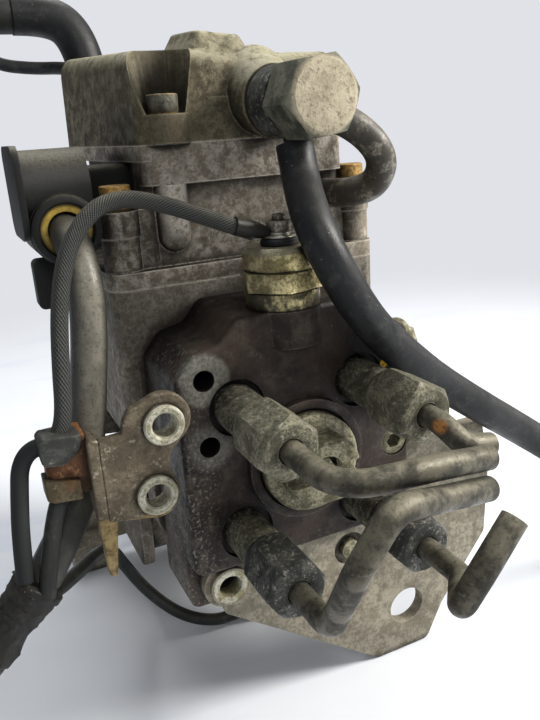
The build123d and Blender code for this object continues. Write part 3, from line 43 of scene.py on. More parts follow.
scene = bpy.context.scene
print("frame loaded", len(nodes), "nodes")


def newFinish(name, roughness=0.6, metallic=0.0):
    material = bpy.data.materials.new(name)
    material.use_nodes = True
    tree = material.node_tree
    shader = tree.nodes["Principled BSDF"]
    shader.inputs["Roughness"].default_value = roughness
    shader.inputs["Metallic"].default_value = metallic
    shader.inputs["Specular IOR Level"].default_value = 0.28
    coords = tree.nodes.new("ShaderNodeTexCoord")
    return material, tree, shader, coords.outputs["Object"]


def setInput(tree, socket, value):
    if hasattr(value, "links"):
        tree.links.new(value, socket)
    elif isinstance(value, tuple) and len(value) == 3 and socket.type == "RGBA":
        socket.default_value = (*value, 1)
    else:
        socket.default_value = value


def noiseField(tree, where, scale, detail, rough):
    node = tree.nodes.new("ShaderNodeTexNoise")
    tree.links.new(where, node.inputs["Vector"])
    node.inputs["Scale"].default_value = scale
    node.inputs["Detail"].default_value = detail
    node.inputs["Roughness"].default_value = rough
    return node.outputs["Fac"]


def noiseFields(tree, where, *settings):
    # One field for each (scale, detail, roughness)
    return [noiseField(tree, where, *setting) for setting in settings]


def cellField(tree, where, scale):
    node = tree.nodes.new("ShaderNodeTexVoronoi")
    tree.links.new(where, node.inputs["Vector"])
    node.inputs["Scale"].default_value = scale
    return node.outputs["Distance"]


def stretched(tree, where, scale=(1, 1, 1), turn=(0, 0, 0), shift=(0, 0, 0)):
    node = tree.nodes.new("ShaderNodeMapping")
    tree.links.new(where, node.inputs["Vector"])
    node.inputs["Scale"].default_value = scale
    node.inputs["Rotation"].default_value = turn
    node.inputs["Location"].default_value = shift
    return node.outputs["Vector"]


def band(tree, value, low, high, flip=False):
    # 0 below low, 1 above high, smooth between
    node = tree.nodes.new("ShaderNodeMapRange")
    node.interpolation_type = "SMOOTHSTEP"
    tree.links.new(value, node.inputs["Value"])
    node.inputs["From Min"].default_value = low
    node.inputs["From Max"].default_value = high
    node.inputs["To Min"].default_value = 1.0 if flip else 0.0
    node.inputs["To Max"].default_value = 0.0 if flip else 1.0
    return node.outputs["Result"]


def combine(tree, kind, first, second):
    node = tree.nodes.new("ShaderNodeMath")
    node.operation = kind
    setInput(tree, node.inputs[0], first)
    setInput(tree, node.inputs[1], second)
    return node.outputs[0]


def blendColour(tree, amount, below, above):
    node = tree.nodes.new("ShaderNodeMix")
    node.data_type = "RGBA"
    setInput(tree, node.inputs[0], amount)
    setInput(tree, node.inputs[6], below)
    setInput(tree, node.inputs[7], above)
    return node.outputs[2]


def both(tree, first, second):
    return combine(tree, "MULTIPLY", first, second)


def toned(colour, share):
    return tuple(min(1.0, c * share) for c in colour)


def stain(tree, skin, colour, amount, share=None):
    # Lays a colour over the skin where amount is 1, thinned to share
    if share is not None:
        amount = both(tree, amount, share)
    return blendColour(tree, amount, skin, colour)


def bumpFrom(tree, height, strength, distance, under=None):
    node = tree.nodes.new("ShaderNodeBump")
    tree.links.new(height, node.inputs["Height"])
    node.inputs["Strength"].default_value = strength
    node.inputs["Distance"].default_value = distance
    if under is not None:
        tree.links.new(under, node.inputs["Normal"])
    return node.outputs["Normal"]


def settle(tree, shader, skin, bumps, gloss=None):
    # Joins a colour, a roughness and (height, strength, distance) bumps, finest first
    tree.links.new(skin, shader.inputs["Base Color"])
    if gloss is not None:
        tree.links.new(gloss, shader.inputs["Roughness"])
    normal = None
    for height, strength, distance in bumps:
        normal = bumpFrom(tree, height, strength, distance, normal)
    tree.links.new(normal, shader.inputs["Normal"])


def creviceShade(tree, reach, full=0.45):
    # 1 in corners and seams, 0 on open faces; a mask for painted shade where ambient occlusion
    # falls
    node = tree.nodes.new("ShaderNodeAmbientOcclusion")
    node.samples = 8
    node.inputs["Distance"].default_value = reach
    return band(tree, node.outputs["AO"], full, 0.97, flip=True)


def edgeWear(tree, reach):
    # 1 along edges, 0 on open faces
    rounded = tree.nodes.new("ShaderNodeBevel")
    rounded.samples = 4
    rounded.inputs["Radius"].default_value = reach
    plain = tree.nodes.new("ShaderNodeNewGeometry")
    agree = tree.nodes.new("ShaderNodeVectorMath")
    agree.operation = "DOT_PRODUCT"
    tree.links.new(rounded.outputs["Normal"], agree.inputs[0])
    tree.links.new(plain.outputs["Normal"], agree.inputs[1])
    return band(tree, agree.outputs["Value"], 0.98, 0.86)


def nearTo(tree, where, centre, inner, outer):
    # 1 within inner metres of a place, 0 beyond outer
    node = tree.nodes.new("ShaderNodeVectorMath")
    node.operation = "DISTANCE"
    tree.links.new(where, node.inputs[0])
    node.inputs[1].default_value = centre
    return band(tree, node.outputs["Value"], outer, inner)


def facingUp(tree):
    geometry = tree.nodes.new("ShaderNodeNewGeometry")
    split = tree.nodes.new("ShaderNodeSeparateXYZ")
    tree.links.new(geometry.outputs["Normal"], split.inputs[0])
    return band(tree, split.outputs["Z"], 0.15, 0.95)


def heightOf(tree, where, axis="Z"):
    split = tree.nodes.new("ShaderNodeSeparateXYZ")
    tree.links.new(where, split.inputs[0])
    return split.outputs[axis]


def uvPlace(tree):
    coords = tree.nodes.new("ShaderNodeTexCoord")
    return coords.outputs["UV"]


def castAlloy(name, pale, mid, grimeAndShadeColour, grimeShare=0.5, seed=0.0, dust=None, column=None):
    # Sand-cast alloy: mottled skin, brown grime in clouds, freckles and drips, painted shade
    # gathered in seams and corners, rubbed edges
    material, tree, shader, place = newFinish(name, 0.62, 0.12)
    shifted = stretched(tree, place, shift=(seed, seed * 0.7, seed * 1.3))
    broad, patch, grain, sand = noiseFields(tree, shifted, (26, 5, 0.6), (250, 8, 0.72),
                                            (700, 6, 0.75), (2100, 3, 0.6))
    worn = both(tree, band(tree, patch, 0.44, 0.56), band(tree, broad, 0.30, 0.62))
    skin = blendColour(tree, worn, mid, pale)
    skin = stain(tree, skin, toned(mid, 0.45), band(tree, grain, 0.48, 0.58), 0.5)
    cloud = both(tree, band(tree, broad, 0.62 - 0.22 * grimeShare, 0.72 - 0.22 * grimeShare),
                 band(tree, patch, 0.38, 0.58))
    freckle = both(tree, band(tree, grain, 0.54, 0.64), band(tree, patch, 0.48, 0.60))
    drip = noiseField(tree, stretched(tree, shifted, (110, 110, 26)), 1.0, 7, 0.7)
    drips = both(tree, band(tree, drip, 0.50, 0.62), band(tree, broad, 0.42, 0.55))
    # Painted shade: ambient occlusion darkens corners, tight seams and wide hollows
    cornerShade = both(tree, creviceShade(tree, 0.014, 0.62), band(tree, drip, 0.20, 0.48))
    wideShade = both(tree, creviceShade(tree, 0.045), 0.62)
    seamShade = combine(tree, "MAXIMUM", both(tree, creviceShade(tree, 0.0040, 0.68), 0.97), wideShade)
    # Real grime and the painted shade above are laid on in one dark colour
    grimeAndShadeMask = combine(tree, "MAXIMUM", both(tree, cloud, 0.8), both(tree, freckle, 0.55))
    grimeAndShadeMask = combine(tree, "MAXIMUM", grimeAndShadeMask, both(tree, drips, 0.75))
    grimeAndShadeMask = combine(tree, "MAXIMUM", grimeAndShadeMask, combine(tree, "MAXIMUM", cornerShade, seamShade))
    skin = stain(tree, skin, grimeAndShadeColour, grimeAndShadeMask)
    if column is not None:
        # Painted highlight down one upright column and its foot
        height = heightOf(tree, place)
        across = combine(tree, "ABSOLUTE", combine(tree, "SUBTRACT", heightOf(tree, place, "X"),
                                                   column["middle"]), 0)
        upright = both(tree, band(tree, height, *column["foot"]),
                       band(tree, height, *column["top"]))
        columnHighlight = both(tree, band(tree, across, column["reach"], column["reach"] * 0.3), upright)
        columnHighlight = both(tree, columnHighlight, band(tree, grain, 0.36, 0.54))
        skin = stain(tree, skin, toned(pale, 1.15), columnHighlight, 0.65)
    if dust is not None:
        settled = both(tree, facingUp(tree), band(tree, patch, 0.28, 0.55))
        skin = stain(tree, skin, dust, settled, 0.75)
    rubbed = both(tree, edgeWear(tree, 0.0011), band(tree, grain, 0.34, 0.58))
    skin = stain(tree, skin, toned(pale, 1.3), rubbed, 0.7)
    settle(tree, shader, skin, [(sand, 0.4, 0.0003), (grain, 0.55, 0.0006), (patch, 0.35, 0.0011)],
           band(tree, patch, 1.1, 0.1))
    return material


headMarks = {
    "upperPad": (-0.0320, -0.1500, 0.0328),
    "lowerPad": (-0.0320, -0.1500, 0.0111),
    "paintDot": (0.0321, -0.1500, 0.0258),
    "leftSide": (-0.024, -0.039),
}


def oxideIron(name):
    # Dark brown skin of the distributor head, speckled pale along its left side and round two holes
    material, tree, shader, place = newFinish(name, 0.55, 0.2)
    broad, patch, fine = noiseFields(tree, place, (30, 6, 0.6), (140, 8, 0.7), (800, 6, 0.75))
    skin = blendColour(tree, band(tree, broad, 0.42, 0.58), (0.018, 0.013, 0.010),
                       (0.056, 0.038, 0.028))
    skin = stain(tree, skin, (0.080, 0.062, 0.042), band(tree, patch, 0.48, 0.60), 0.65)
    skin = stain(tree, skin, (0.018, 0.014, 0.013), band(tree, fine, 0.5, 0.62), 0.6)
    upperPad = nearTo(tree, place, headMarks["upperPad"], 0.0072, 0.0092)
    lowerPad = nearTo(tree, place, headMarks["lowerPad"], 0.0055, 0.0090)
    pad = combine(tree, "MAXIMUM", upperPad, both(tree, lowerPad, 0.6))
    speckle = band(tree, fine, 0.40, 0.58)
    skin = stain(tree, skin, (0.235, 0.235, 0.200), pad,
                 combine(tree, "ADD", both(tree, speckle, 0.5), 0.4))
    leftSide = band(tree, heightOf(tree, place, "X"), *headMarks["leftSide"])
    leftSpecks = both(tree, leftSide, band(tree, fine, 0.53, 0.62))
    skin = stain(tree, skin, (0.30, 0.28, 0.24), leftSpecks, 0.7)
    rubbed = both(tree, edgeWear(tree, 0.0012), band(tree, fine, 0.42, 0.60))
    skin = stain(tree, skin, (0.27, 0.245, 0.20), rubbed, 0.55)
    shade = combine(tree, "MAXIMUM", creviceShade(tree, 0.010), both(tree, creviceShade(tree, 0.035), 0.6))
    skin = stain(tree, skin, (0.008, 0.006, 0.006), shade)
    few = both(tree, band(tree, cellField(tree, place, 520), 0.03, 0.10, flip=True),
               band(tree, patch, 0.48, 0.62))
    skin = stain(tree, skin, (0.42, 0.39, 0.33), few, 0.8)
    paint = both(tree, nearTo(tree, place, headMarks["paintDot"], 0.0010, 0.0019),
                 band(tree, fine, 0.40, 0.50))
    skin = stain(tree, skin, (0.78, 0.50, 0.02), paint)
    settle(tree, shader, skin, [(patch, 0.3, 0.0009), (fine, 0.55, 0.0005)],
           band(tree, patch, 1.1, -0.1))
    return material


def wornPlating(name, pale, mid, dark, darkShare=0.4, seed=0.0, gritShare=0.55, darkAbove=None):
    # Old zinc on forged nuts and unions: granular khaki crust, dark patches on the flanks, painted
    # shade in the hollows, rubbed corners
    material, tree, shader, place = newFinish(name, 0.62, 0.25)
    shifted = stretched(tree, place, shift=(seed, seed * 1.7, seed * 0.4))
    patch, fine = noiseFields(tree, shifted, (170, 8, 0.7), (1000, 6, 0.75))
    crust = cellField(tree, shifted, 1100)
    skin = blendColour(tree, band(tree, patch, 0.42, 0.57), mid, pale)
    skin = stain(tree, skin, toned(mid, 0.6), band(tree, fine, 0.48, 0.56), 0.75)
    if darkAbove is not None:
        darker = blendColour(tree, band(tree, patch, 0.42, 0.57), (0.034, 0.033, 0.026),
                             (0.085, 0.080, 0.058))
        skin = stain(tree, skin, darker, band(tree, heightOf(tree, place), darkAbove,
                                              darkAbove + 0.001))
    bare = noiseField(tree, stretched(tree, shifted, shift=(5, 2, 8)), 95, 8, 0.7)
    worn = band(tree, bare, 0.66 - 0.3 * darkShare, 0.82 - 0.3 * darkShare)
    skin = stain(tree, skin, dark, worn, 0.8)
    # Painted shade: the dark colour laid where ambient occlusion finds hollows
    skin = stain(tree, skin, dark, creviceShade(tree, 0.003), 0.85)
    rubbed = both(tree, edgeWear(tree, 0.0007), band(tree, fine, 0.36, 0.56))
    skin = stain(tree, skin, toned(pale, 1.9), rubbed, 0.7)
    speck = noiseField(tree, stretched(tree, shifted, shift=(3, 3, 7)), 760, 5, 0.75)
    grit = both(tree, band(tree, speck, 0.555, 0.60), band(tree, patch, 0.40, 0.52))
    skin = stain(tree, skin, (0.44, 0.42, 0.36), grit, gritShare)
    settle(tree, shader, skin, [(crust, 0.35, 0.0003), (fine, 0.7, 0.0005)],
           band(tree, patch, 1.0, 0.1))
    return material


def pipeSkin(name, pale, dark, rustAt=None):
    # Drawn pipe gone grey: dusty top, dark underside, fine scuffs and pale nicks
    material, tree, shader, place = newFinish(name, 0.5, 0.25)
    patch, fine = noiseFields(tree, place, (120, 8, 0.65), (1100, 6, 0.75))
    skin = blendColour(tree, band(tree, patch, 0.43, 0.57), dark, pale)
    skin = stain(tree, skin, (0.165, 0.152, 0.108), facingUp(tree), band(tree, patch, 0.3, 0.6))
    scuff = noiseField(tree, stretched(tree, place, (90, 260, 420)), 1.0, 7, 0.7)
    skin = stain(tree, skin, (0.26, 0.245, 0.20), band(tree, scuff, 0.58, 0.70), 0.45)
    skin = stain(tree, skin, (0.018, 0.019, 0.018), band(tree, fine, 0.52, 0.64), 0.55)
    # Painted shade in the hollows and where the pipe meets other parts
    skin = stain(tree, skin, (0.014, 0.014, 0.013), creviceShade(tree, 0.003), 0.75)
    rubbed = both(tree, edgeWear(tree, 0.0005), 0.7)
    skin = stain(tree, skin, (0.28, 0.275, 0.21), rubbed)
    if rustAt is not None:
        fringe = nearTo(tree, place, rustAt, 0.0010, 0.0029)
        spotted = both(tree, fringe, band(tree, fine, 0.36, 0.52))
        skin = stain(tree, skin, (0.42, 0.185, 0.050), spotted)
    settle(tree, shader, skin, [(scuff, 0.25, 0.0003), (fine, 0.45, 0.0004)],
           band(tree, patch, 0.95, 0.05))
    return material


solenoidMarks = {"lowBand": (0.0557, 0.0551), "shaded": (-0.001, -0.011),
                 "dustyTop": (0.0662, 0.0684)}


def yellowPassivate(name):
    # Yellow passivated steel of the stop solenoid, soot on it and on its dark lower band
    material, tree, shader, place = newFinish(name, 0.34, 0.55)
    patch, fine = noiseFields(tree, place, (150, 8, 0.68), (1000, 5, 0.72))
    height = heightOf(tree, place)
    skin = blendColour(tree, band(tree, patch, 0.40, 0.54), (0.25, 0.205, 0.085),
                       (0.74, 0.63, 0.32))
    skin = stain(tree, skin, (0.085, 0.072, 0.036), band(tree, fine, 0.49, 0.57), 0.65)
    lowBand = both(tree, band(tree, height, *solenoidMarks["lowBand"]),
                   band(tree, patch, 0.62, 0.44))
    skin = stain(tree, skin, (0.030, 0.029, 0.021), lowBand, 0.85)
    sooty = noiseField(tree, stretched(tree, place, shift=(2, 5, 3)), 60, 7, 0.68)
    skin = stain(tree, skin, (0.060, 0.055, 0.034), band(tree, sooty, 0.50, 0.68), 0.7)
    # Painted shade on the left side, away from the lamps
    leftSideShade = band(tree, heightOf(tree, place, "X"), *solenoidMarks["shaded"])
    skin = stain(tree, skin, (0.060, 0.058, 0.042), leftSideShade, 0.55)
    top = band(tree, height, *solenoidMarks["dustyTop"])
    skin = stain(tree, skin, (0.27, 0.255, 0.19), top, 0.75)
    # Painted shade in the hollows
    skin = stain(tree, skin, (0.018, 0.016, 0.012), creviceShade(tree, 0.0022), 0.9)
    settle(tree, shader, skin, [(fine, 0.4, 0.0003)], band(tree, patch, 0.85, -0.1))
    return material


boltMarks = {"front": (-0.1556, -0.1568), "middle": (0.0095, -0.1580, 0.1110),
             "rim": (0.0125, 0.0102)}


def speckledBolt(name):
    # Return bolt: olive-dark flats and a cream face full of pits
    material, tree, shader, place = newFinish(name, 0.6, 0.15)
    patch, fine = noiseFields(tree, place, (130, 8, 0.7), (900, 6, 0.75))
    flats = blendColour(tree, band(tree, patch, 0.42, 0.57), (0.042, 0.044, 0.034),
                        (0.155, 0.155, 0.115))
    flats = blendColour(tree, both(tree, facingUp(tree), 0.7), flats, (0.215, 0.212, 0.150))
    face = blendColour(tree, band(tree, patch, 0.30, 0.58), (0.27, 0.235, 0.160),
                       (0.44, 0.385, 0.275))
    front = band(tree, heightOf(tree, place, "Y"), *boltMarks["front"])
    skin = blendColour(tree, front, flats, face)
    skin = stain(tree, skin, (0.120, 0.104, 0.072), band(tree, fine, 0.53, 0.62), 0.7)
    skin = stain(tree, skin, (0.110, 0.096, 0.070), band(tree, patch, 0.60, 0.70), 0.6)
    rim = nearTo(tree, place, boltMarks["middle"], *boltMarks["rim"])
    skin = stain(tree, skin, (0.095, 0.082, 0.060), both(tree, front, rim),
                 band(tree, fine, 0.34, 0.52))
    # Painted shade in the hollows
    skin = stain(tree, skin, (0.03, 0.028, 0.02), creviceShade(tree, 0.004), 0.8)
    settle(tree, shader, skin, [(patch, 0.3, 0.0008), (fine, 0.7, 0.0006)])
    return material


def hoseRubber(name, dustShare=0.35, base=(0.016, 0.018, 0.021), dust=(0.13, 0.135, 0.135)):
    # Moulded hose: blue-black rubber under a film of dust, with pale specks and nicks
    material, tree, shader, place = newFinish(name, 0.5, 0.0)
    broad, patch, fine = noiseFields(tree, place, (45, 6, 0.62), (210, 8, 0.72), (1500, 4, 0.7))
    film = both(tree, facingUp(tree), band(tree, broad, 0.25, 0.7))
    film = both(tree, film, band(tree, fine, 0.30, 0.62))
    skin = blendColour(tree, both(tree, film, min(1.0, dustShare * 2.2)), base, dust)
    skin = stain(tree, skin, dust, band(tree, patch, 0.50, 0.66), dustShare)
    skin = stain(tree, skin, toned(base, 0.45), band(tree, fine, 0.52, 0.62), 0.5)
    specks = band(tree, cellField(tree, place, 480), 0.035, 0.09, flip=True)
    some = band(tree, broad, 0.47, 0.58)
    skin = stain(tree, skin, (0.42, 0.42, 0.37), both(tree, specks, some), 0.8)
    # Painted shade in the hollows
    skin = stain(tree, skin, toned(base, 0.3), creviceShade(tree, 0.003), 0.6)
    settle(tree, shader, skin, [(fine, 0.35, 0.0003)], band(tree, broad, 1.1, -0.1))
    return material


def wovenSleeve(name, turns, runLength, pitch, dark, pale, dusty, wovenShare=1.0):
    # Braided sleeve; the curve's own UV map runs once along the lead and once round it
    material, tree, shader, place = newFinish(name, 0.7, 0.0)
    flat = stretched(tree, uvPlace(tree), (runLength / pitch, turns, 1))
    split = tree.nodes.new("ShaderNodeSeparateXYZ")
    tree.links.new(flat, split.inputs[0])
    rising = combine(tree, "ADD", split.outputs["X"], split.outputs["Y"])
    falling = combine(tree, "SUBTRACT", split.outputs["X"], split.outputs["Y"])
    first = combine(tree, "ABSOLUTE", combine(tree, "SINE", both(tree, rising, math.pi), 0), 0)
    second = combine(tree, "ABSOLUTE", combine(tree, "SINE", both(tree, falling, math.pi), 0), 0)
    weave = both(tree, first, combine(tree, "ADD", both(tree, second, 0.5), 0.5))
    along = heightOf(tree, uvPlace(tree), "X")
    woven = band(tree, along, wovenShare + 0.004, wovenShare - 0.004)
    weave = both(tree, weave, woven)
    patch = noiseField(tree, place, 110, 8, 0.7)
    skin = blendColour(tree, band(tree, weave, 0.15, 0.75), dark, pale)
    top = both(tree, facingUp(tree), band(tree, patch, 0.32, 0.62))
    skin = stain(tree, skin, dusty, top, band(tree, weave, 0.0, 0.8))
    settle(tree, shader, skin, [(weave, 0.8, 0.0004)])
    return material


def dustySleeve(name, base, dust, worn, darkerBelow):
    # Thick PVC sleeve: chalky in broad patches, painted shade down both flanks that leaves the
    # middle lighter, dark scuffs in patches, darker towards its low end
    material, tree, shader, place = newFinish(name, 0.45, 0.0)
    broad = noiseField(tree, stretched(tree, place, (1, 1, 0.5)), 55, 7, 0.62)
    patch, fine = noiseFields(tree, place, (260, 8, 0.72), (1300, 5, 0.7))
    skin = blendColour(tree, band(tree, broad, 0.36, 0.60), base, dust)
    skin = stain(tree, skin, base, band(tree, patch, 0.48, 0.62), 0.55)
    # Painted shade down both flanks, picked by the surface normal, in the scuff colour
    facing = tree.nodes.new("ShaderNodeNewGeometry")
    split = tree.nodes.new("ShaderNodeSeparateXYZ")
    tree.links.new(facing.outputs["Normal"], split.inputs[0])
    leftFlankShade = band(tree, split.outputs["X"], -0.35, -0.9)
    rightFlankShade = band(tree, split.outputs["X"], 0.45, 0.95)
    skin = stain(tree, skin, worn, combine(tree, "MAXIMUM", leftFlankShade, rightFlankShade), 0.85)
    # Darker towards the low end of the cable
    skin = stain(tree, skin, worn, band(tree, heightOf(tree, place), *darkerBelow), 0.8)
    skin = stain(tree, skin, worn, band(tree, fine, 0.54, 0.64), 0.5)
    settle(tree, shader, skin, [(fine, 0.35, 0.0003)], band(tree, broad, 0.9, 0.0))
    return material


def softSeal(name):
    material, tree, shader, place = newFinish(name, 0.45, 0.0)
    patch, fine = noiseFields(tree, place, (240, 7, 0.7), (1200, 4, 0.7))
    skin = blendColour(tree, band(tree, patch, 0.4, 0.65), (0.50, 0.33, 0.045), (0.66, 0.48, 0.09))
    skin = stain(tree, skin, (0.17, 0.12, 0.03), band(tree, fine, 0.56, 0.66), 0.6)
    # Painted shade in the hollows
    skin = stain(tree, skin, (0.06, 0.045, 0.02), creviceShade(tree, 0.003), 0.85)
    settle(tree, shader, skin, [(patch, 0.25, 0.0003)])
    return material


def rustySheet(name, base, rust, pale, rustShare=0.5, seed=0.0, paleShare=0.5, bushes=(),
               bushReach=0.0064, mottle=0.58, brassBelow=None):
    # Sheet steel: mottled scale, rust blooms and pale rubbed grains
    material, tree, shader, place = newFinish(name, 0.6, 0.2)
    shifted = stretched(tree, place, shift=(seed, seed, seed))
    broad, patch, fine = noiseFields(tree, shifted, (38, 6, 0.62), (170, 8, 0.7), (900, 6, 0.75))
    skin = blendColour(tree, band(tree, patch, 0.43, 0.57), toned(base, mottle), base)
    skin = stain(tree, skin, toned(base, 0.4), band(tree, fine, 0.49, 0.57), 0.6)
    bloom = both(tree, band(tree, broad, 0.66 - 0.3 * rustShare, 0.82 - 0.3 * rustShare),
                 band(tree, fine, 0.30, 0.55))
    skin = stain(tree, skin, rust, bloom, 0.8)
    chalk = noiseField(tree, stretched(tree, shifted, shift=(2, 7, 1)), 420, 8, 0.75)
    skin = stain(tree, skin, pale, band(tree, chalk, 0.62 - 0.12 * paleShare,
                                        0.70 - 0.12 * paleShare), 0.6)
    # Painted shade in the hollows
    skin = stain(tree, skin, (0.018, 0.014, 0.010), creviceShade(tree, 0.004), 0.8)
    rubbed = both(tree, edgeWear(tree, 0.0006), band(tree, fine, 0.38, 0.56))
    skin = stain(tree, skin, toned(pale, 1.2), rubbed, 0.6)
    if brassBelow is not None:
        brassy = blendColour(tree, band(tree, patch, 0.42, 0.58), (0.115, 0.070, 0.028),
                             (0.30, 0.225, 0.100))
        skin = stain(tree, skin, brassy, band(tree, heightOf(tree, place), brassBelow,
                                              brassBelow - 0.0004))
    for bushPlace in bushes:
        plated = blendColour(tree, band(tree, patch, 0.42, 0.58), (0.27, 0.245, 0.135),
                             (0.52, 0.51, 0.43))
        plated = blendColour(tree, both(tree, band(tree, fine, 0.52, 0.60), 0.6), plated,
                             (0.10, 0.085, 0.05))
        skin = stain(tree, skin, plated, nearTo(tree, place, bushPlace, bushReach - 0.0002,
                                                bushReach))
    settle(tree, shader, skin, [(patch, 0.3, 0.0006), (fine, 0.5, 0.0004)],
           band(tree, patch, 0.95, 0.15))
    return material


def dustyPlastic(name, base, dust, topShare=0.6):
    material, tree, shader, place = newFinish(name, 0.55, 0.0)
    broad, fine = noiseFields(tree, place, (60, 7, 0.65), (1200, 5, 0.7))
    skin = blendColour(tree, band(tree, broad, 0.42, 0.66), base, toned(base, 1.7))
    upwards = combine(tree, "POWER", facingUp(tree), 2.0)
    film = both(tree, upwards, band(tree, fine, 0.28, 0.58))
    skin = stain(tree, skin, dust, film, topShare)
    rubbed = both(tree, edgeWear(tree, 0.0007), band(tree, broad, 0.45, 0.6))
    skin = stain(tree, skin, dust, rubbed, 0.35)
    # Painted shade in the hollows
    skin = stain(tree, skin, toned(base, 0.3), creviceShade(tree, 0.005), 0.75)
    settle(tree, shader, skin, [(fine, 0.3, 0.0003)])
    return material


def machinedSteel(name, colour, dark):
    material, tree, shader, place = newFinish(name, 0.35, 0.85)
    blotch = noiseField(tree, place, 110, 7, 0.6)
    ring = noiseField(tree, stretched(tree, place, (300, 40, 300)), 1.0, 4, 0.6)
    skin = blendColour(tree, band(tree, blotch, 0.42, 0.62), dark, colour)
    settle(tree, shader, skin, [(ring, 0.15, 0.0002)])
    return material


def windingBrown(name):
    material, tree, shader, place = newFinish(name, 0.5, 0.1)
    wires = noiseField(tree, stretched(tree, place, (20, 20, 2200)), 1.0, 2, 0.5)
    skin = blendColour(tree, band(tree, wires, 0.4, 0.6), (0.10, 0.035, 0.015), (0.26, 0.10, 0.035))
    settle(tree, shader, skin, [(wires, 0.5, 0.0004)])
    return material


def tableTop(name, colour, far, hazeMiddle, hazeReach):
    # Pale table that runs out into the room's own colour for the camera
    material, tree, shader, place = newFinish(name, 0.55, 0.0)
    soft = noiseField(tree, place, 9, 4, 0.55)
    smear = noiseField(tree, stretched(tree, place, (3, 14, 1), turn=(0, 0, 0.5)), 1.5, 5, 0.6)
    skin = blendColour(tree, band(tree, soft, 0.3, 0.7), colour, toned(colour, 1.04))
    bluish = (colour[0] * 0.80, colour[1] * 0.84, colour[2] * 0.98)
    skin = stain(tree, skin, bluish, band(tree, smear, 0.52, 0.66), 0.35)
    tree.links.new(skin, shader.inputs["Base Color"])
    haze = tree.nodes.new("ShaderNodeEmission")
    haze.inputs["Color"].default_value = (*far, 1)
    rays = tree.nodes.new("ShaderNodeLightPath")
    around = nearTo(tree, place, hazeMiddle, *hazeReach)
    seen = both(tree, combine(tree, "SUBTRACT", 1.0, around), rays.outputs["Is Camera Ray"])
    join = tree.nodes.new("ShaderNodeMixShader")
    tree.links.new(seen, join.inputs[0])
    tree.links.new(shader.outputs[0], join.inputs[1])
    tree.links.new(haze.outputs[0], join.inputs[2])
    tree.links.new(join.outputs[0], tree.nodes["Material Output"].inputs["Surface"])
    return material


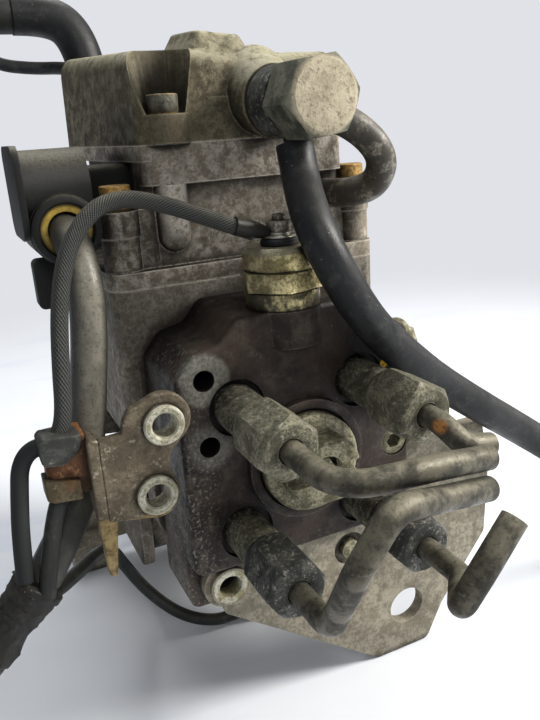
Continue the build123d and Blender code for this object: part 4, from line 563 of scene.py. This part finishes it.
towerColumnHighlight = {"middle": -0.0238, "reach": 0.0058, "foot": (0.0690, 0.0740),
               "top": (0.0925, 0.0870)}
finish = {
    "tower": castAlloy("towerAlloy", (0.60, 0.555, 0.475), (0.235, 0.198, 0.150),
                       (0.020, 0.015, 0.010), 0.5, column=towerColumnHighlight),
    "housing": castAlloy("housingAlloy", (0.48, 0.44, 0.365), (0.185, 0.160, 0.122),
                         (0.022, 0.017, 0.013), 0.8, 2.0),
    "cover": castAlloy("coverAlloy", (0.255, 0.220, 0.138), (0.090, 0.075, 0.044),
                       (0.022, 0.018, 0.011), 0.5, 5.0, dust=(0.43, 0.40, 0.27)),
    "head": oxideIron("headOxide"),
    "upperNut": wornPlating("upperNutZinc", (0.205, 0.195, 0.130), (0.100, 0.095, 0.066),
                            (0.026, 0.026, 0.021), 0.35),
    "lowerNut": wornPlating("lowerNutZinc", (0.090, 0.090, 0.078), (0.040, 0.042, 0.037),
                            (0.013, 0.014, 0.013), 0.6, 3.0),
    "holder": wornPlating("holderZinc", (0.165, 0.158, 0.105), (0.070, 0.068, 0.048),
                          (0.020, 0.020, 0.017), 0.5, 6.0),
    "plug": wornPlating("plugZinc", (0.37, 0.345, 0.225), (0.155, 0.142, 0.088),
                        (0.036, 0.032, 0.023), 0.35, 9.0),
    "pipe": pipeSkin("pipeGrey", (0.100, 0.090, 0.062), (0.036, 0.033, 0.024)),
    "pipeRusty": pipeSkin("pipeGreyRust", (0.110, 0.099, 0.068), (0.044, 0.040, 0.029),
                          (0.0197, -0.1952, 0.0222)),
    "solenoid": yellowPassivate("solenoidYellow"),
    "returnBolt": speckledBolt("returnBoltSkin"),
    "hose": hoseRubber("hoseBlueBlack", 0.26, (0.0095, 0.0103, 0.0116), (0.092, 0.091, 0.082)),
    "greyHose": hoseRubber("hoseGreyDust", 0.85, (0.050, 0.045, 0.036), (0.27, 0.245, 0.195)),
    "seal": softSeal("sealYellow"),
    "cable": dustySleeve("cableChalky", (0.105, 0.098, 0.078), (0.215, 0.200, 0.160),
                         (0.016, 0.018, 0.018), (0.026, 0.004)),
    "thinLead": hoseRubber("leadBlack", 0.26, (0.015, 0.0165, 0.016), (0.110, 0.104, 0.078)),
    "tape": hoseRubber("tapeBlack", 0.35, (0.014, 0.0135, 0.012), (0.085, 0.076, 0.058)),
    "clamp": rustySheet("clampScale", (0.095, 0.074, 0.040), (0.22, 0.080, 0.024),
                        (0.27, 0.235, 0.12), 0.35, 0.0, 0.3),
    "clampCore": rustySheet("clampRust", (0.150, 0.062, 0.026), (0.31, 0.125, 0.035),
                            (0.36, 0.20, 0.08), 0.8, 3.0, 0.6),
    "clampTab": rustySheet("clampGrey", (0.060, 0.062, 0.056), (0.09, 0.055, 0.03),
                           (0.31, 0.295, 0.20), 0.1, 6.0, 0.1),
    "bracket": rustySheet("bracketBrown", (0.155, 0.125, 0.083), (0.095, 0.062, 0.036),
                          (0.44, 0.40, 0.31), 0.2, 4.0, 0.45, brassBelow=-0.0020),
    "bush": wornPlating("bushZinc", (0.52, 0.50, 0.40), (0.27, 0.255, 0.175), (0.07, 0.06, 0.04),
                        0.2, 12.0),
    "plate": rustySheet("plateBeige", (0.300, 0.270, 0.202), (0.120, 0.095, 0.062),
                        (0.42, 0.385, 0.31), 0.5, 8.0, 0.25, ((-0.0284, -0.1470, -0.0430),), 0.0062,
                        0.68),
    "connector": dustyPlastic("connectorBlack", (0.0055, 0.0058, 0.0052), (0.105, 0.096, 0.062),
                              0.75),
    "blackPlastic": dustyPlastic("blackPlastic", (0.012, 0.0125, 0.012), (0.075, 0.070, 0.055)),
    "brassScrew": wornPlating("screwBrass", (0.40, 0.235, 0.060), (0.18, 0.115, 0.040),
                              (0.035, 0.027, 0.016), 0.3, 15.0, 0.15, 0.1),
    "darkScrew": wornPlating("screwDark", (0.095, 0.086, 0.062), (0.045, 0.042, 0.034),
                             (0.014, 0.013, 0.012), 0.5, 18.0),
    "stud": wornPlating("studSteel", (0.25, 0.235, 0.19), (0.10, 0.090, 0.070),
                        (0.025, 0.022, 0.017), 0.4, 21.0),
    "brightWasher": machinedSteel("washerBright", (0.44, 0.43, 0.37), (0.20, 0.19, 0.15)),
    "steel": machinedSteel("innerSteel", (0.46, 0.46, 0.47), (0.25, 0.25, 0.26)),
    "coil": windingBrown("coilWinding"),
    "rubberRing": hoseRubber("rubberRing", 0.2, (0.013, 0.014, 0.017), (0.09, 0.095, 0.10)),
}
print("finishes", len(finish))


viewPoint = {
    "eye": (-0.09565, -0.34025, 0.10437),
    "right": (0.90122, -0.42888, -0.06223),
    "up": (0.18880, 0.25929, 0.94717),
    "focal": 35.485,
    "frameSide": 36.0,
    "nearest": 0.01,
}

cameraData = bpy.data.cameras.new("viewCamera")
cameraData.sensor_fit = "VERTICAL"
cameraData.sensor_height = viewPoint["frameSide"]
cameraData.lens = viewPoint["focal"]
cameraData.clip_start = viewPoint["nearest"]
camera = bpy.data.objects.new("viewCamera", cameraData)
scene.collection.objects.link(camera)
sideways = Vector(viewPoint["right"]).normalized()
upwards = Vector(viewPoint["up"])
upwards = (upwards - sideways * upwards.dot(sideways)).normalized()
backwards = sideways.cross(upwards)
turned = Matrix((sideways, upwards, backwards)).transposed().to_4x4()
camera.matrix_world = Matrix.Translation(Vector(viewPoint["eye"])) @ turned
scene.camera = camera
scene.view_settings.view_transform = "Standard"


def softLamp(name, place, aim, width, power, colour):
    data = bpy.data.lights.new(name, "AREA")
    data.shape = "RECTANGLE"
    data.size = width[0]
    data.size_y = width[1]
    data.energy = power
    data.color = colour
    lamp = bpy.data.objects.new(name, data)
    scene.collection.objects.link(lamp)
    lamp.location = place
    lamp.rotation_euler = (Vector(aim) - Vector(place)).to_track_quat("-Z", "Y").to_euler()
    return lamp


room = {
    "key": ((0.85, -0.50, 0.60), (0.40, 0.40), 21.0, (1.0, 0.965, 0.91)),
    "front": ((-0.15, -1.0, 0.60), (0.4, 0.3), 2.4, (1.0, 0.98, 0.95)),
    "top": ((0.10, 0.35, 0.95), (0.6, 0.6), 7.0, (1.0, 0.99, 0.97)),
    "ambient": (0.90, 0.94, 1.0),
    "ambientLevel": 0.26,
    "seen": (0.745, 0.762, 0.805),
    "table": (0.74, 0.77, 0.82),
    "tableHeight": -0.0995,
    "tableSide": 6,
    "hazeMiddle": (0.0, -0.05, -0.1),
    "hazeReach": (0.26, 0.75),
    "aim": (0, -0.12, 0.01),
}
for lampName in ("key", "front", "top"):
    place, width, power, colour = room[lampName]
    softLamp(lampName + "Lamp", place, room["aim"], width, power, colour)

world = bpy.data.worlds.new("paleRoom")
scene.world = world
world.use_nodes = True
worldTree = world.node_tree
roomLight = worldTree.nodes["Background"]
roomLight.inputs["Color"].default_value = (*room["ambient"], 1)
roomLight.inputs["Strength"].default_value = room["ambientLevel"]
roomSeen = worldTree.nodes.new("ShaderNodeBackground")
roomSeen.inputs["Color"].default_value = (*room["seen"], 1)
roomSeen.inputs["Strength"].default_value = 1.0
roomRays = worldTree.nodes.new("ShaderNodeLightPath")
roomJoin = worldTree.nodes.new("ShaderNodeMixShader")
worldTree.links.new(roomRays.outputs["Is Camera Ray"], roomJoin.inputs[0])
worldTree.links.new(roomLight.outputs[0], roomJoin.inputs[1])
worldTree.links.new(roomSeen.outputs[0], roomJoin.inputs[2])
worldTree.links.new(roomJoin.outputs[0], worldTree.nodes["World Output"].inputs["Surface"])

bpy.ops.mesh.primitive_plane_add(size=room["tableSide"], location=(0, 0, 0))
tablePiece = bpy.context.object
tablePiece.name = "tableTop"
bpy.ops.object.mode_set(mode="EDIT")
bpy.ops.transform.translate(value=(0, 0, room["tableHeight"] - 0.0002))
bpy.ops.object.mode_set(mode="OBJECT")
tablePiece.data.materials.append(tableTop("tableTop", room["table"], room["seen"],
                                          room["hazeMiddle"], room["hazeReach"]))
print("camera and lamps set")


def splineOf(name, points, thick):
    # One open spline through given control points, in metres
    data = bpy.data.curves.new(name, "CURVE")
    data.dimensions = "3D"
    line = data.splines.new("NURBS")
    line.points.add(len(points) - 1)
    for spot, point in zip(line.points, points):
        spot.co = (*(c * mm for c in point), 1)
    line.order_u = 3
    line.use_endpoint_u = True
    data.resolution_u = 12
    data.bevel_depth = thick * mm / 2
    data.bevel_resolution = 7
    data.use_fill_caps = True
    piece = bpy.data.objects.new(name, data)
    scene.collection.objects.link(piece)
    return piece


cordFacts = {
    "returnHose": {
        "node": "return_hose", "finish": "hose", "thick": 12.0, "length": 309.0,
        "stiffness": "medium", "farEnd": "bare", "lay": "hanging",
        "points": [(9.5, -136.14, 98.0), (9.5, -138.97, 87.89), (4.3, -153.6, 78.4),
                   (6.8, -159.1, 66.9), (13.4, -160, 54.5), (22, -158.8, 42.5), (34, -157.5, 31),
                   (50, -155, 17.5), (70, -153, 3), (93, -152, -13), (119, -152, -32),
                   (145, -151, -52), (169, -149, -70), (193, -146, -85), (217, -142, -93.4)]},
    "returnTube": {
        "node": "return_tube", "finish": "greyHose", "thick": 10.0, "length": 60.1,
        "stiffness": "stiff", "farEnd": "object", "lay": "taut",
        "points": [(20.84, -133.58, 107.22), (31.23, -134.57, 103.76), (40.5, -139, 93),
                   (41, -134, 83), (33, -126, 80), (33, -112, 80)]},
    "inletHose": {
        "node": "inlet_hose", "finish": "hose", "thick": 16.0, "length": 103.8,
        "stiffness": "stiff", "farEnd": "fitting", "lay": "hanging",
        "points": [(-22, -19, 69), (-22, -19, 98), (-24, -15.5, 126), (-27.5, -12, 146),
                   (-38, -11, 153), (-52, -11, 153)]},
    "leakLine": {
        "node": "leak_line", "finish": "hose", "thick": 5.0, "length": 54.3,
        "stiffness": "medium", "farEnd": "object", "lay": "hanging",
        "points": [(-62.51, -11, 144.08), (-64.77, -11, 139.61), (-60.5, -12, 134), (-46, -15, 132),
                   (-36, -22, 131.5), (-27.6, -35.5, 129)]},
    "mainCable": {
        "node": "main_cable", "finish": "cable", "thick": 11.0, "length": 125.6,
        "stiffness": "stiff", "farEnd": "object", "lay": "hanging",
        "points": [(-59.5, -104, 77.5), (-59.5, -121.5, 77.5), (-58.5, -129.5, 62),
                   (-60.2, -131.5, 48), (-62.9, -133.7, 33.5), (-65.4, -133.5, 17.7),
                   (-70.4, -137, 0.7), (-79.5, -146, -9), (-88, -150, -18.5)]},
    "solenoidLead": {
        "node": "solenoid_lead", "finish": "weave", "thick": 5.0, "length": 161.9,
        "stiffness": "medium", "farEnd": "object", "lay": "hanging",
        "points": [(-9, -141, 73.6), (-15, -141.5, 76), (-24, -138, 80), (-35, -135, 84.5),
                   (-45, -134, 87), (-54, -135.5, 85.5), (-61, -137, 79), (-65.5, -138.5, 71),
                   (-69, -141, 59), (-71.3, -144.5, 45), (-73.2, -148, 29), (-77.5, -148.5, 23),
                   (-83, -148, 23.5), (-87, -148.5, 19.5), (-88.5, -149, 11), (-90.5, -152, -1),
                   (-91.5, -155.3, -12.8)]},
    "timingLead": {
        "node": "timing_lead", "finish": "thinLead", "thick": 5.0, "length": 194.7,
        "stiffness": "medium", "farEnd": "object", "lay": "hanging",
        "points": [(20, -105, -69), (20, -105, -80), (9, -101, -92), (-8, -96, -95.5),
                   (-20, -97, -95), (-33, -92, -90), (-44, -84, -79), (-51, -80, -66),
                   (-57, -90, -50), (-65, -106, -41), (-74, -122, -36), (-84, -136, -32),
                   (-95, -146, -27)]},
    "earthLead": {
        "node": "earth_lead", "finish": "thinLead", "thick": 5.0, "length": 35.2,
        "stiffness": "medium", "farEnd": "object", "lay": "hanging",
        "points": [(-74, -146, 12), (-77.5, -149, 8.5), (-81, -151, 1), (-84.5, -155.6, -9),
                   (-87, -158.1, -17.8)]},
    "harnessTail": {
        "node": "harness_tail", "finish": "braid", "thick": 13.0, "length": 124.6,
        "stiffness": "stiff", "farEnd": "plug", "lay": "loose",
        "points": [(-99.83, -152.36, -28.62), (-109, -149, -40), (-124, -142, -62),
                   (-142, -134, -81), (-165, -124, -92.6), (-190, -112, -92.6)]},
}
finish["braid"] = wovenSleeve("braidWeave", 9, cordFacts["harnessTail"]["length"] * mm, 0.0046,
                              (0.024, 0.026, 0.021), (0.095, 0.098, 0.078), (0.17, 0.17, 0.135))
finish["weave"] = wovenSleeve("leadWeave", 16, cordFacts["solenoidLead"]["length"] * mm, 0.0010,
                              (0.014, 0.016, 0.016), (0.058, 0.060, 0.054), (0.135, 0.128, 0.096),
                              0.68)

for name, facts in cordFacts.items():
    piece = splineOf(name, facts["points"], facts["thick"])
    piece.data.materials.append(finish[facts["finish"]])
    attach(piece, "pump")
    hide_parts(facts["node"])


def pickOnly(piece):
    bpy.ops.object.select_all(action="DESELECT")
    piece.select_set(True)
    bpy.context.view_layer.objects.active = piece


def breakEdges(piece, width, segments, angle=30):
    # Rounds the edges that turn by more than angle degrees
    bevel = piece.modifiers.new("brokenEdge", "BEVEL")
    bevel.width = width
    bevel.segments = segments
    bevel.limit_method = "ANGLE"
    bevel.angle_limit = math.radians(angle)
    bpy.ops.object.modifier_apply(modifier=bevel.name)


def dressPiece(piece, finishName, angle=35):
    bpy.ops.object.shade_smooth_by_angle(angle=math.radians(angle))
    piece.data.materials.clear()
    piece.data.materials.append(finish[finishName])
    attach(piece, "pump")
    return piece


def softCopy(node, name, finishName, edge):
    # Copy of a CAD node with its edges broken
    piece = nodes[node].copy()
    piece.data = nodes[node].data.copy()
    piece.name = name
    for key in [k for k in piece.keys() if k.startswith("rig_")]:
        del piece[key]
    piece.parent = None
    piece.matrix_world = Matrix.Identity(4)
    scene.collection.objects.link(piece)
    pickOnly(piece)
    bpy.ops.object.mode_set(mode="EDIT")
    bpy.ops.mesh.select_all(action="SELECT")
    bpy.ops.mesh.remove_doubles(threshold=mergeReach)
    bpy.ops.mesh.dissolve_limited(angle_limit=math.radians(1))
    bpy.ops.object.mode_set(mode="OBJECT")
    breakEdges(piece, edge, 2, 32)
    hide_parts(node)
    return dressPiece(piece, finishName, 32)


def colourNode(node, finishName):
    # A CAD node kept as it is, in its own finish
    nodes[node].data.materials.clear()
    nodes[node].data.materials.append(finish[finishName])


# CAD node, new name, finish, slot and broken edge in metres
numbered = [(1, "One"), (2, "Two"), (3, "Three"), (4, "Four")]
copies = [
    ("pump_housing", "housingCast", "housing", "housing_aluminium", 0.0006),
    ("adjuster_housing", "towerCast", "tower", "housing_aluminium", 0.0006),
    ("adjuster_cover", "coverCast", "cover", "cover_aluminium", 0.0007),
    ("timing_covers", "timingCoverCast", "housing", "housing_aluminium", 0.0008),
    ("distributor_head", "headBlock", "head", "head_steel", 0.0006),
    ("head_fasteners", "headScrews", "plug", "screw_steel", 0.0003),
    ("head_plug", "centrePlug", "plug", "nut_steel", 0.0003),
    *[("valve_holder_%d" % number, "holder" + word, "holder", "nut_steel", 0.0003)
      for number, word in numbered],
    *[("union_nut_%d" % number, "nut" + word, "upperNut" if number < 3 else "lowerNut",
       "nut_steel", 0.0004) for number, word in numbered],
    *[("pipe_%d" % number, "pipe" + word, "pipeRusty" if number == 2 else "pipe",
       "pipe_steel", 0.0001) for number, word in numbered],
    ("stop_solenoid", "stopSolenoid", "solenoid", "yellow_plated", 0.0004),
    ("adjuster_screws", "deckScrews", "brassScrew", "screw_brass", 0.0005),
    ("return_bolt", "returnBolt", "returnBolt", "nut_steel", 0.0005),
    ("return_banjo", "returnBanjo", "lowerNut", "nut_steel", 0.0004),
    ("inlet_fitting", "inletFitting", "holder", "nut_steel", 0.0004),
    ("inlet_end", "inletEnd", "blackPlastic", "connector_plastic", 0.0004),
    ("connector", "connectorShell", "connector", "connector_plastic", 0.0009),
    ("connector_seal", "connectorSeal", "seal", "seal_rubber", 0.0005),
    ("harness_plug", "harnessPlug", "blackPlastic", "connector_plastic", 0.0006),
    ("harness_clamp", "clampStrap", "clampCore", "clamp_steel", 0.0006),
    ("support_plate", "supportPlate", "plate", "plate_steel", 0.0005),
    ("drive_bracket", "driveBracket", "plate", "plate_steel", 0.0005),
    ("timing_solenoid", "timingSolenoid", "blackPlastic", "yellow_plated", 0.0005),
]


def risen(name, sections, sides, finishName, foot, axis=(0, 0, 1), edge=0.0, turn=0.0,
          hollow=False):
    # Ring drawn up through (height, radius) steps in mm and laid along its axis;
    # a hollow one ends where it began
    bpy.ops.object.select_all(action="DESELECT")
    bpy.ops.mesh.primitive_circle_add(vertices=sides, radius=sections[0][1] * mm,
                                      fill_type="NOTHING" if hollow else "NGON")
    piece = bpy.context.object
    piece.name = name
    bpy.ops.object.mode_set(mode="EDIT")
    bpy.ops.mesh.select_all(action="SELECT")
    for (low, narrow), (high, wide) in zip(sections, sections[1:]):
        step = (0, 0, (high - low) * mm)
        bpy.ops.mesh.extrude_region_move(TRANSFORM_OT_translate={"value": step})
        bpy.ops.transform.resize(value=(wide / narrow, wide / narrow, 1),
                                 center_override=(0, 0, (high - sections[0][0]) * mm))
    bpy.ops.mesh.select_all(action="SELECT")
    if hollow:
        bpy.ops.mesh.remove_doubles(threshold=mergeReach)
    bpy.ops.mesh.normals_make_consistent(inside=False)
    bpy.ops.object.mode_set(mode="OBJECT")
    if edge > 0:
        breakEdges(piece, edge, 2)
    lie = Vector((0, 0, 1)).rotation_difference(Vector(axis).normalized())
    piece.matrix_world = (Matrix.Translation(Vector(foot) * mm) @ lie.to_matrix().to_4x4()
                          @ Matrix.Rotation(turn, 4, "Z"))
    bpy.ops.object.transform_apply(location=True, rotation=True, scale=True)
    return dressPiece(piece, finishName)


def slab(name, corners, front, back, finishName, edge=0.0004):
    # Flat piece with its corners given as (x, z) in mm, drawn from front to back along Y
    bpy.ops.object.select_all(action="DESELECT")
    bpy.ops.mesh.primitive_circle_add(vertices=len(corners), radius=0.01, fill_type="NGON")
    piece = bpy.context.object
    piece.name = name
    for vertex, (x, z) in zip(piece.data.vertices, corners):
        vertex.co = (x * mm, front * mm, z * mm)
    bpy.ops.object.mode_set(mode="EDIT")
    bpy.ops.mesh.select_all(action="SELECT")
    bpy.ops.mesh.extrude_region_move(TRANSFORM_OT_translate={"value": (0, (back - front) * mm, 0)})
    bpy.ops.mesh.select_all(action="SELECT")
    bpy.ops.mesh.normals_make_consistent(inside=False)
    bpy.ops.object.mode_set(mode="OBJECT")
    if edge > 0:
        breakEdges(piece, edge, 3)
    return dressPiece(piece, finishName)


def arcPoints(centre, radius, first, last, steps):
    # Corners along an arc, angles in degrees
    turns = [math.radians(first + (last - first) * step / steps) for step in range(steps + 1)]
    return [(centre[0] + radius * math.cos(turn),
             centre[1] + radius * math.sin(turn)) for turn in turns]


# Loose clamp bracket: sheet with two lobes, its fold, the brass tongue and the two bushes
bracketFacts = {
    "sheetFront": -156.0,
    "sheetBack": -153.0,
    "sheetEdge": 0.0006,
    "lobes": ((-51.7, 3.2), 7.5, (-47.2, 26.0), 8.4),
    "bushes": [(-51.7, 3.7), (-47.4, 25.0)],
    "bushWidth": 12.2,
    "bushBack": -151,
    "bore": 7.4,
    "holeRadius": 5.9,
}
lowLobe, lowRadius, highLobe, highRadius = bracketFacts["lobes"]
outline = ([(-66.4, -1.4)] + arcPoints(lowLobe, lowRadius, -88, 28, 9)
           + [(-46.2, 9.6), (-46.7, 12.6), (-45.7, 15.8)]
           + arcPoints(highLobe, highRadius, -58, 122, 14)
           + [(-56.6, 31.4), (-58.6, 28.4), (-59.6, 24.6), (-66.4, 24.2)])
bracketSheet = slab("bracketSheet", outline, bracketFacts["sheetFront"], bracketFacts["sheetBack"],
                    "bracket", 0)
holeRadius = bracketFacts["holeRadius"]
for bushX, bushZ in bracketFacts["bushes"]:
    cutter = risen("bushCutter", [(0, holeRadius), (12, holeRadius)], 48, "bush",
                   (bushX, -149, bushZ), (0, -1, 0))
    hole = bracketSheet.modifiers.new("bushHole", "BOOLEAN")
    hole.object = cutter
    hole.operation = "DIFFERENCE"
    pickOnly(bracketSheet)
    bpy.ops.object.modifier_apply(modifier=hole.name)
    bpy.data.objects.remove(cutter)
breakEdges(bracketSheet, bracketFacts["sheetEdge"], 3, 50)
bpy.ops.object.shade_smooth_by_angle(angle=math.radians(35))
bracketPieces = [
    bracketSheet,
    slab("bracketFold", [(-69.4, 0.2), (-66.2, -0.6), (-66.2, 24.3), (-68.6, 24.9), (-69.4, 24.2)],
         -156.0, -147.4, "bracket", 0.0007),
    slab("bracketTongue", [(-69, 0.6), (-62.8, 0.6), (-63.2, -4), (-65.4, -21.6), (-66.6, -22.3),
                           (-67.9, -21.2)], -152.0, -148.0, "bracket", 0.0006),
]
outer = bracketFacts["bushWidth"] / 2
bore = bracketFacts["bore"] / 2
bushSections = [(0, bore + 0.3), (0, outer - 0.4), (0.4, outer), (6.5, outer), (7.0, outer - 0.5),
                (7.0, bore + 0.5), (6.5, bore), (0.3, bore), (0, bore + 0.3)]
for number, (bushX, bushZ) in enumerate(bracketFacts["bushes"], 1):
    bracketPieces.append(risen("bracketBush%d" % number, bushSections, 48, "bush",
                               (bushX, bracketFacts["bushBack"], bushZ), (0, -1, 0), hollow=True))
for piece in bracketPieces:
    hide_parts("clamp_bracket")

# Bands of the harness clamp: a folded tab above and a strap below its rusty core
clampBands = [
    slab("clampTab", [(-81.6, 19.6), (-75.0, 18.6), (-70.6, 22.2), (-70.2, 26.4), (-80.6, 27.6),
                      (-81.8, 26.4)], -153.6, -145.4, "clampTab", 0.0007),
    slab("clampFold", [(-81.2, 19.0), (-76.0, 18.2), (-75.6, 19.0), (-81.2, 20.0)],
         -153.2, -146.0, "clampTab", 0.0002),
    slab("clampStrapBand", [(-81.8, 8.6), (-80.0, 7.4), (-72.4, 6.8), (-71.8, 7.6), (-72.0, 13.0),
                            (-81.8, 14.6)], -153.4, -145.6, "clamp", 0.0006),
]

# Dusty lip round the cable seal of the connector
socketLip = risen("socketLip", [(0, 7.9), (0.9, 8.0), (1.3, 8.6), (1.2, 9.6), (0.6, 10.4),
                                (-1.2, 10.8), (-1.2, 7.9), (0, 7.9)], 48, "connector",
                  (-59.5, -116.2, 77.5), (0, -1, 0), hollow=True)

# Terminal on top of the stop solenoid: rubber ring, washer, nut on its stud,
# and the lead's eye and end sleeve; heights and widths in mm
terminal = {
    "middle": (0, -141),
    "ringFoot": 69,
    "ringWidth": 12.0,
    "washerFoot": 71.3,
    "washerWidth": 10.4,
    "eyeFoot": 72.1,
    "eyeWidth": 8.0,
    "nutFoot": 72.9,
    "nutWidth": 8.1,
    "studFoot": 73.2,
    "studWidth": 4.0,
    "sleeveMouth": (-2.6, -141, 72.5),
    "sleeveAlong": (-0.955, -0.05, 0.29),
}
ring, washer, eye, nut, stud = [terminal[part + "Width"] / 2
                                for part in ("ring", "washer", "eye", "nut", "stud")]
terminalPieces = [
    risen("terminalRing", [(0, 5.2), (0.3, ring), (1.5, ring), (2.1, 5.4), (2.3, 4.4)], 40,
          "rubberRing", (*terminal["middle"], terminal["ringFoot"])),
    risen("terminalWasher", [(0, washer), (0.8, washer)], 40, "brightWasher",
          (*terminal["middle"], terminal["washerFoot"]), edge=0.00015),
    risen("terminalNut", [(0, nut), (3.4, nut)], 6, "stud",
          (*terminal["middle"], terminal["nutFoot"]), edge=0.0003, turn=0.35),
    risen("terminalStud", [(0, stud), (4.6, stud), (5.0, stud - 0.3)], 20, "darkScrew",
          (*terminal["middle"], terminal["studFoot"])),
]
for piece in terminalPieces:
    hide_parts("stop_terminal")
leadSleeve = risen("leadSleeve", [(0, 1.2), (2.0, 1.7), (4.5, 2.4), (8.5, 2.95), (13.0, 2.8)], 24,
                   "tape", terminal["sleeveMouth"], terminal["sleeveAlong"])
leadEye = risen("leadEye", [(0, eye), (0.8, eye)], 32, "brightWasher",
                (*terminal["middle"], terminal["eyeFoot"]))

# Tape that binds the leads into the harness
tape = {
    "mouth": (-87.2, -152, -15.8),
    "along": (-0.702, -0.020, -0.712),
    "sections": [(-1.8, 6.4), (-1.4, 7.6), (-0.4, 7.9), (1.0, 7.8), (1.2, 7.4), (3.0, 7.5),
                 (4.8, 7.3), (5.0, 6.9), (7.0, 6.9), (8.8, 6.7), (9.0, 6.4), (11.0, 6.3),
                 (13.0, 6.1), (16.0, 6.3), (18.0, 7.0), (22.0, 7.0), (24.0, 6.3)],
    "creases": 0.00022,
    "raggedDepth": 0.0017,
    "ragged": 0.0007,
}
tapeJoint = risen("tapeJoint", tape["sections"], 40, "tape", tape["mouth"],
                  tape["along"])
pickOnly(tapeJoint)
bpy.ops.object.mode_set(mode="EDIT")
bpy.ops.mesh.select_all(action="SELECT")
bpy.ops.transform.vertex_random(offset=tape["creases"], seed=3)
bpy.ops.object.mode_set(mode="OBJECT")
mouth = Vector(tape["mouth"]) * mm
for vertex in tapeJoint.data.vertices:
    depth = (vertex.co - mouth).dot(Vector(tape["along"]))
    vertex.select = abs(depth) < tape["raggedDepth"]
bpy.ops.object.mode_set(mode="EDIT")
bpy.ops.transform.vertex_random(offset=tape["ragged"], seed=7)
bpy.ops.object.mode_set(mode="OBJECT")
loosePieces = [socketLip, leadSleeve, leadEye, tapeJoint]
newCount = len(terminalPieces + bracketPieces + clampBands + loosePieces)
print("small new pieces", newCount)

made = {}
for node, name, finishName, slotName, edge in copies:
    made[name] = softCopy(node, name, finishName, edge)
for piece in clampBands:
    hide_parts("harness_clamp")

# The cover's roof climbs towards the drive end; its front boss and screw lugs stay
roof = {
    "from": 0.112,
    "full": 0.126,
    "front": -0.116,
    "rear": -0.028,
    "frontLift": 0.0022,
    "rearLift": 0.0078,
    "bossWidth": 0.008,
    "nipple": (-0.026, -0.038),
    "nippleReach": 0.0045,
}


def shareOf(value, low, high):
    # 0 at low, 1 at high, held there beyond them
    return min(1.0, max(0.0, (value - low) / (high - low)))


for vertex in made["coverCast"].data.vertices:
    spot = vertex.co
    onBoss = spot.y < roof["front"] - 0.0002
    onNipple = math.dist(spot[:2], roof["nipple"]) < roof["nippleReach"]
    if onBoss or onNipple:
        continue
    backShare = shareOf(spot.y, roof["front"], roof["rear"])
    clear = min(1.0, max(backShare * 5, -spot.x / roof["bossWidth"], 0.0))
    lift = roof["frontLift"] + (roof["rearLift"] - roof["frontLift"]) * backShare
    spot.z += shareOf(spot.z, roof["from"], roof["full"]) * clear * lift
print("softened copies", len(made))

for node in ("vane_ring", "vane_rotor", "drive_shaft", "roller_ring", "timing_piston", "cam_plate",
             "plunger", "control_collar", "distributor_barrel", "adjuster_rotor", "stop_plunger",
             "delivery_valve_1", "delivery_valve_2", "delivery_valve_3", "delivery_valve_4"):
    colourNode(node, "steel")
colourNode("adjuster_stator", "coil")
colourNode("shaft_seal", "rubberRing")
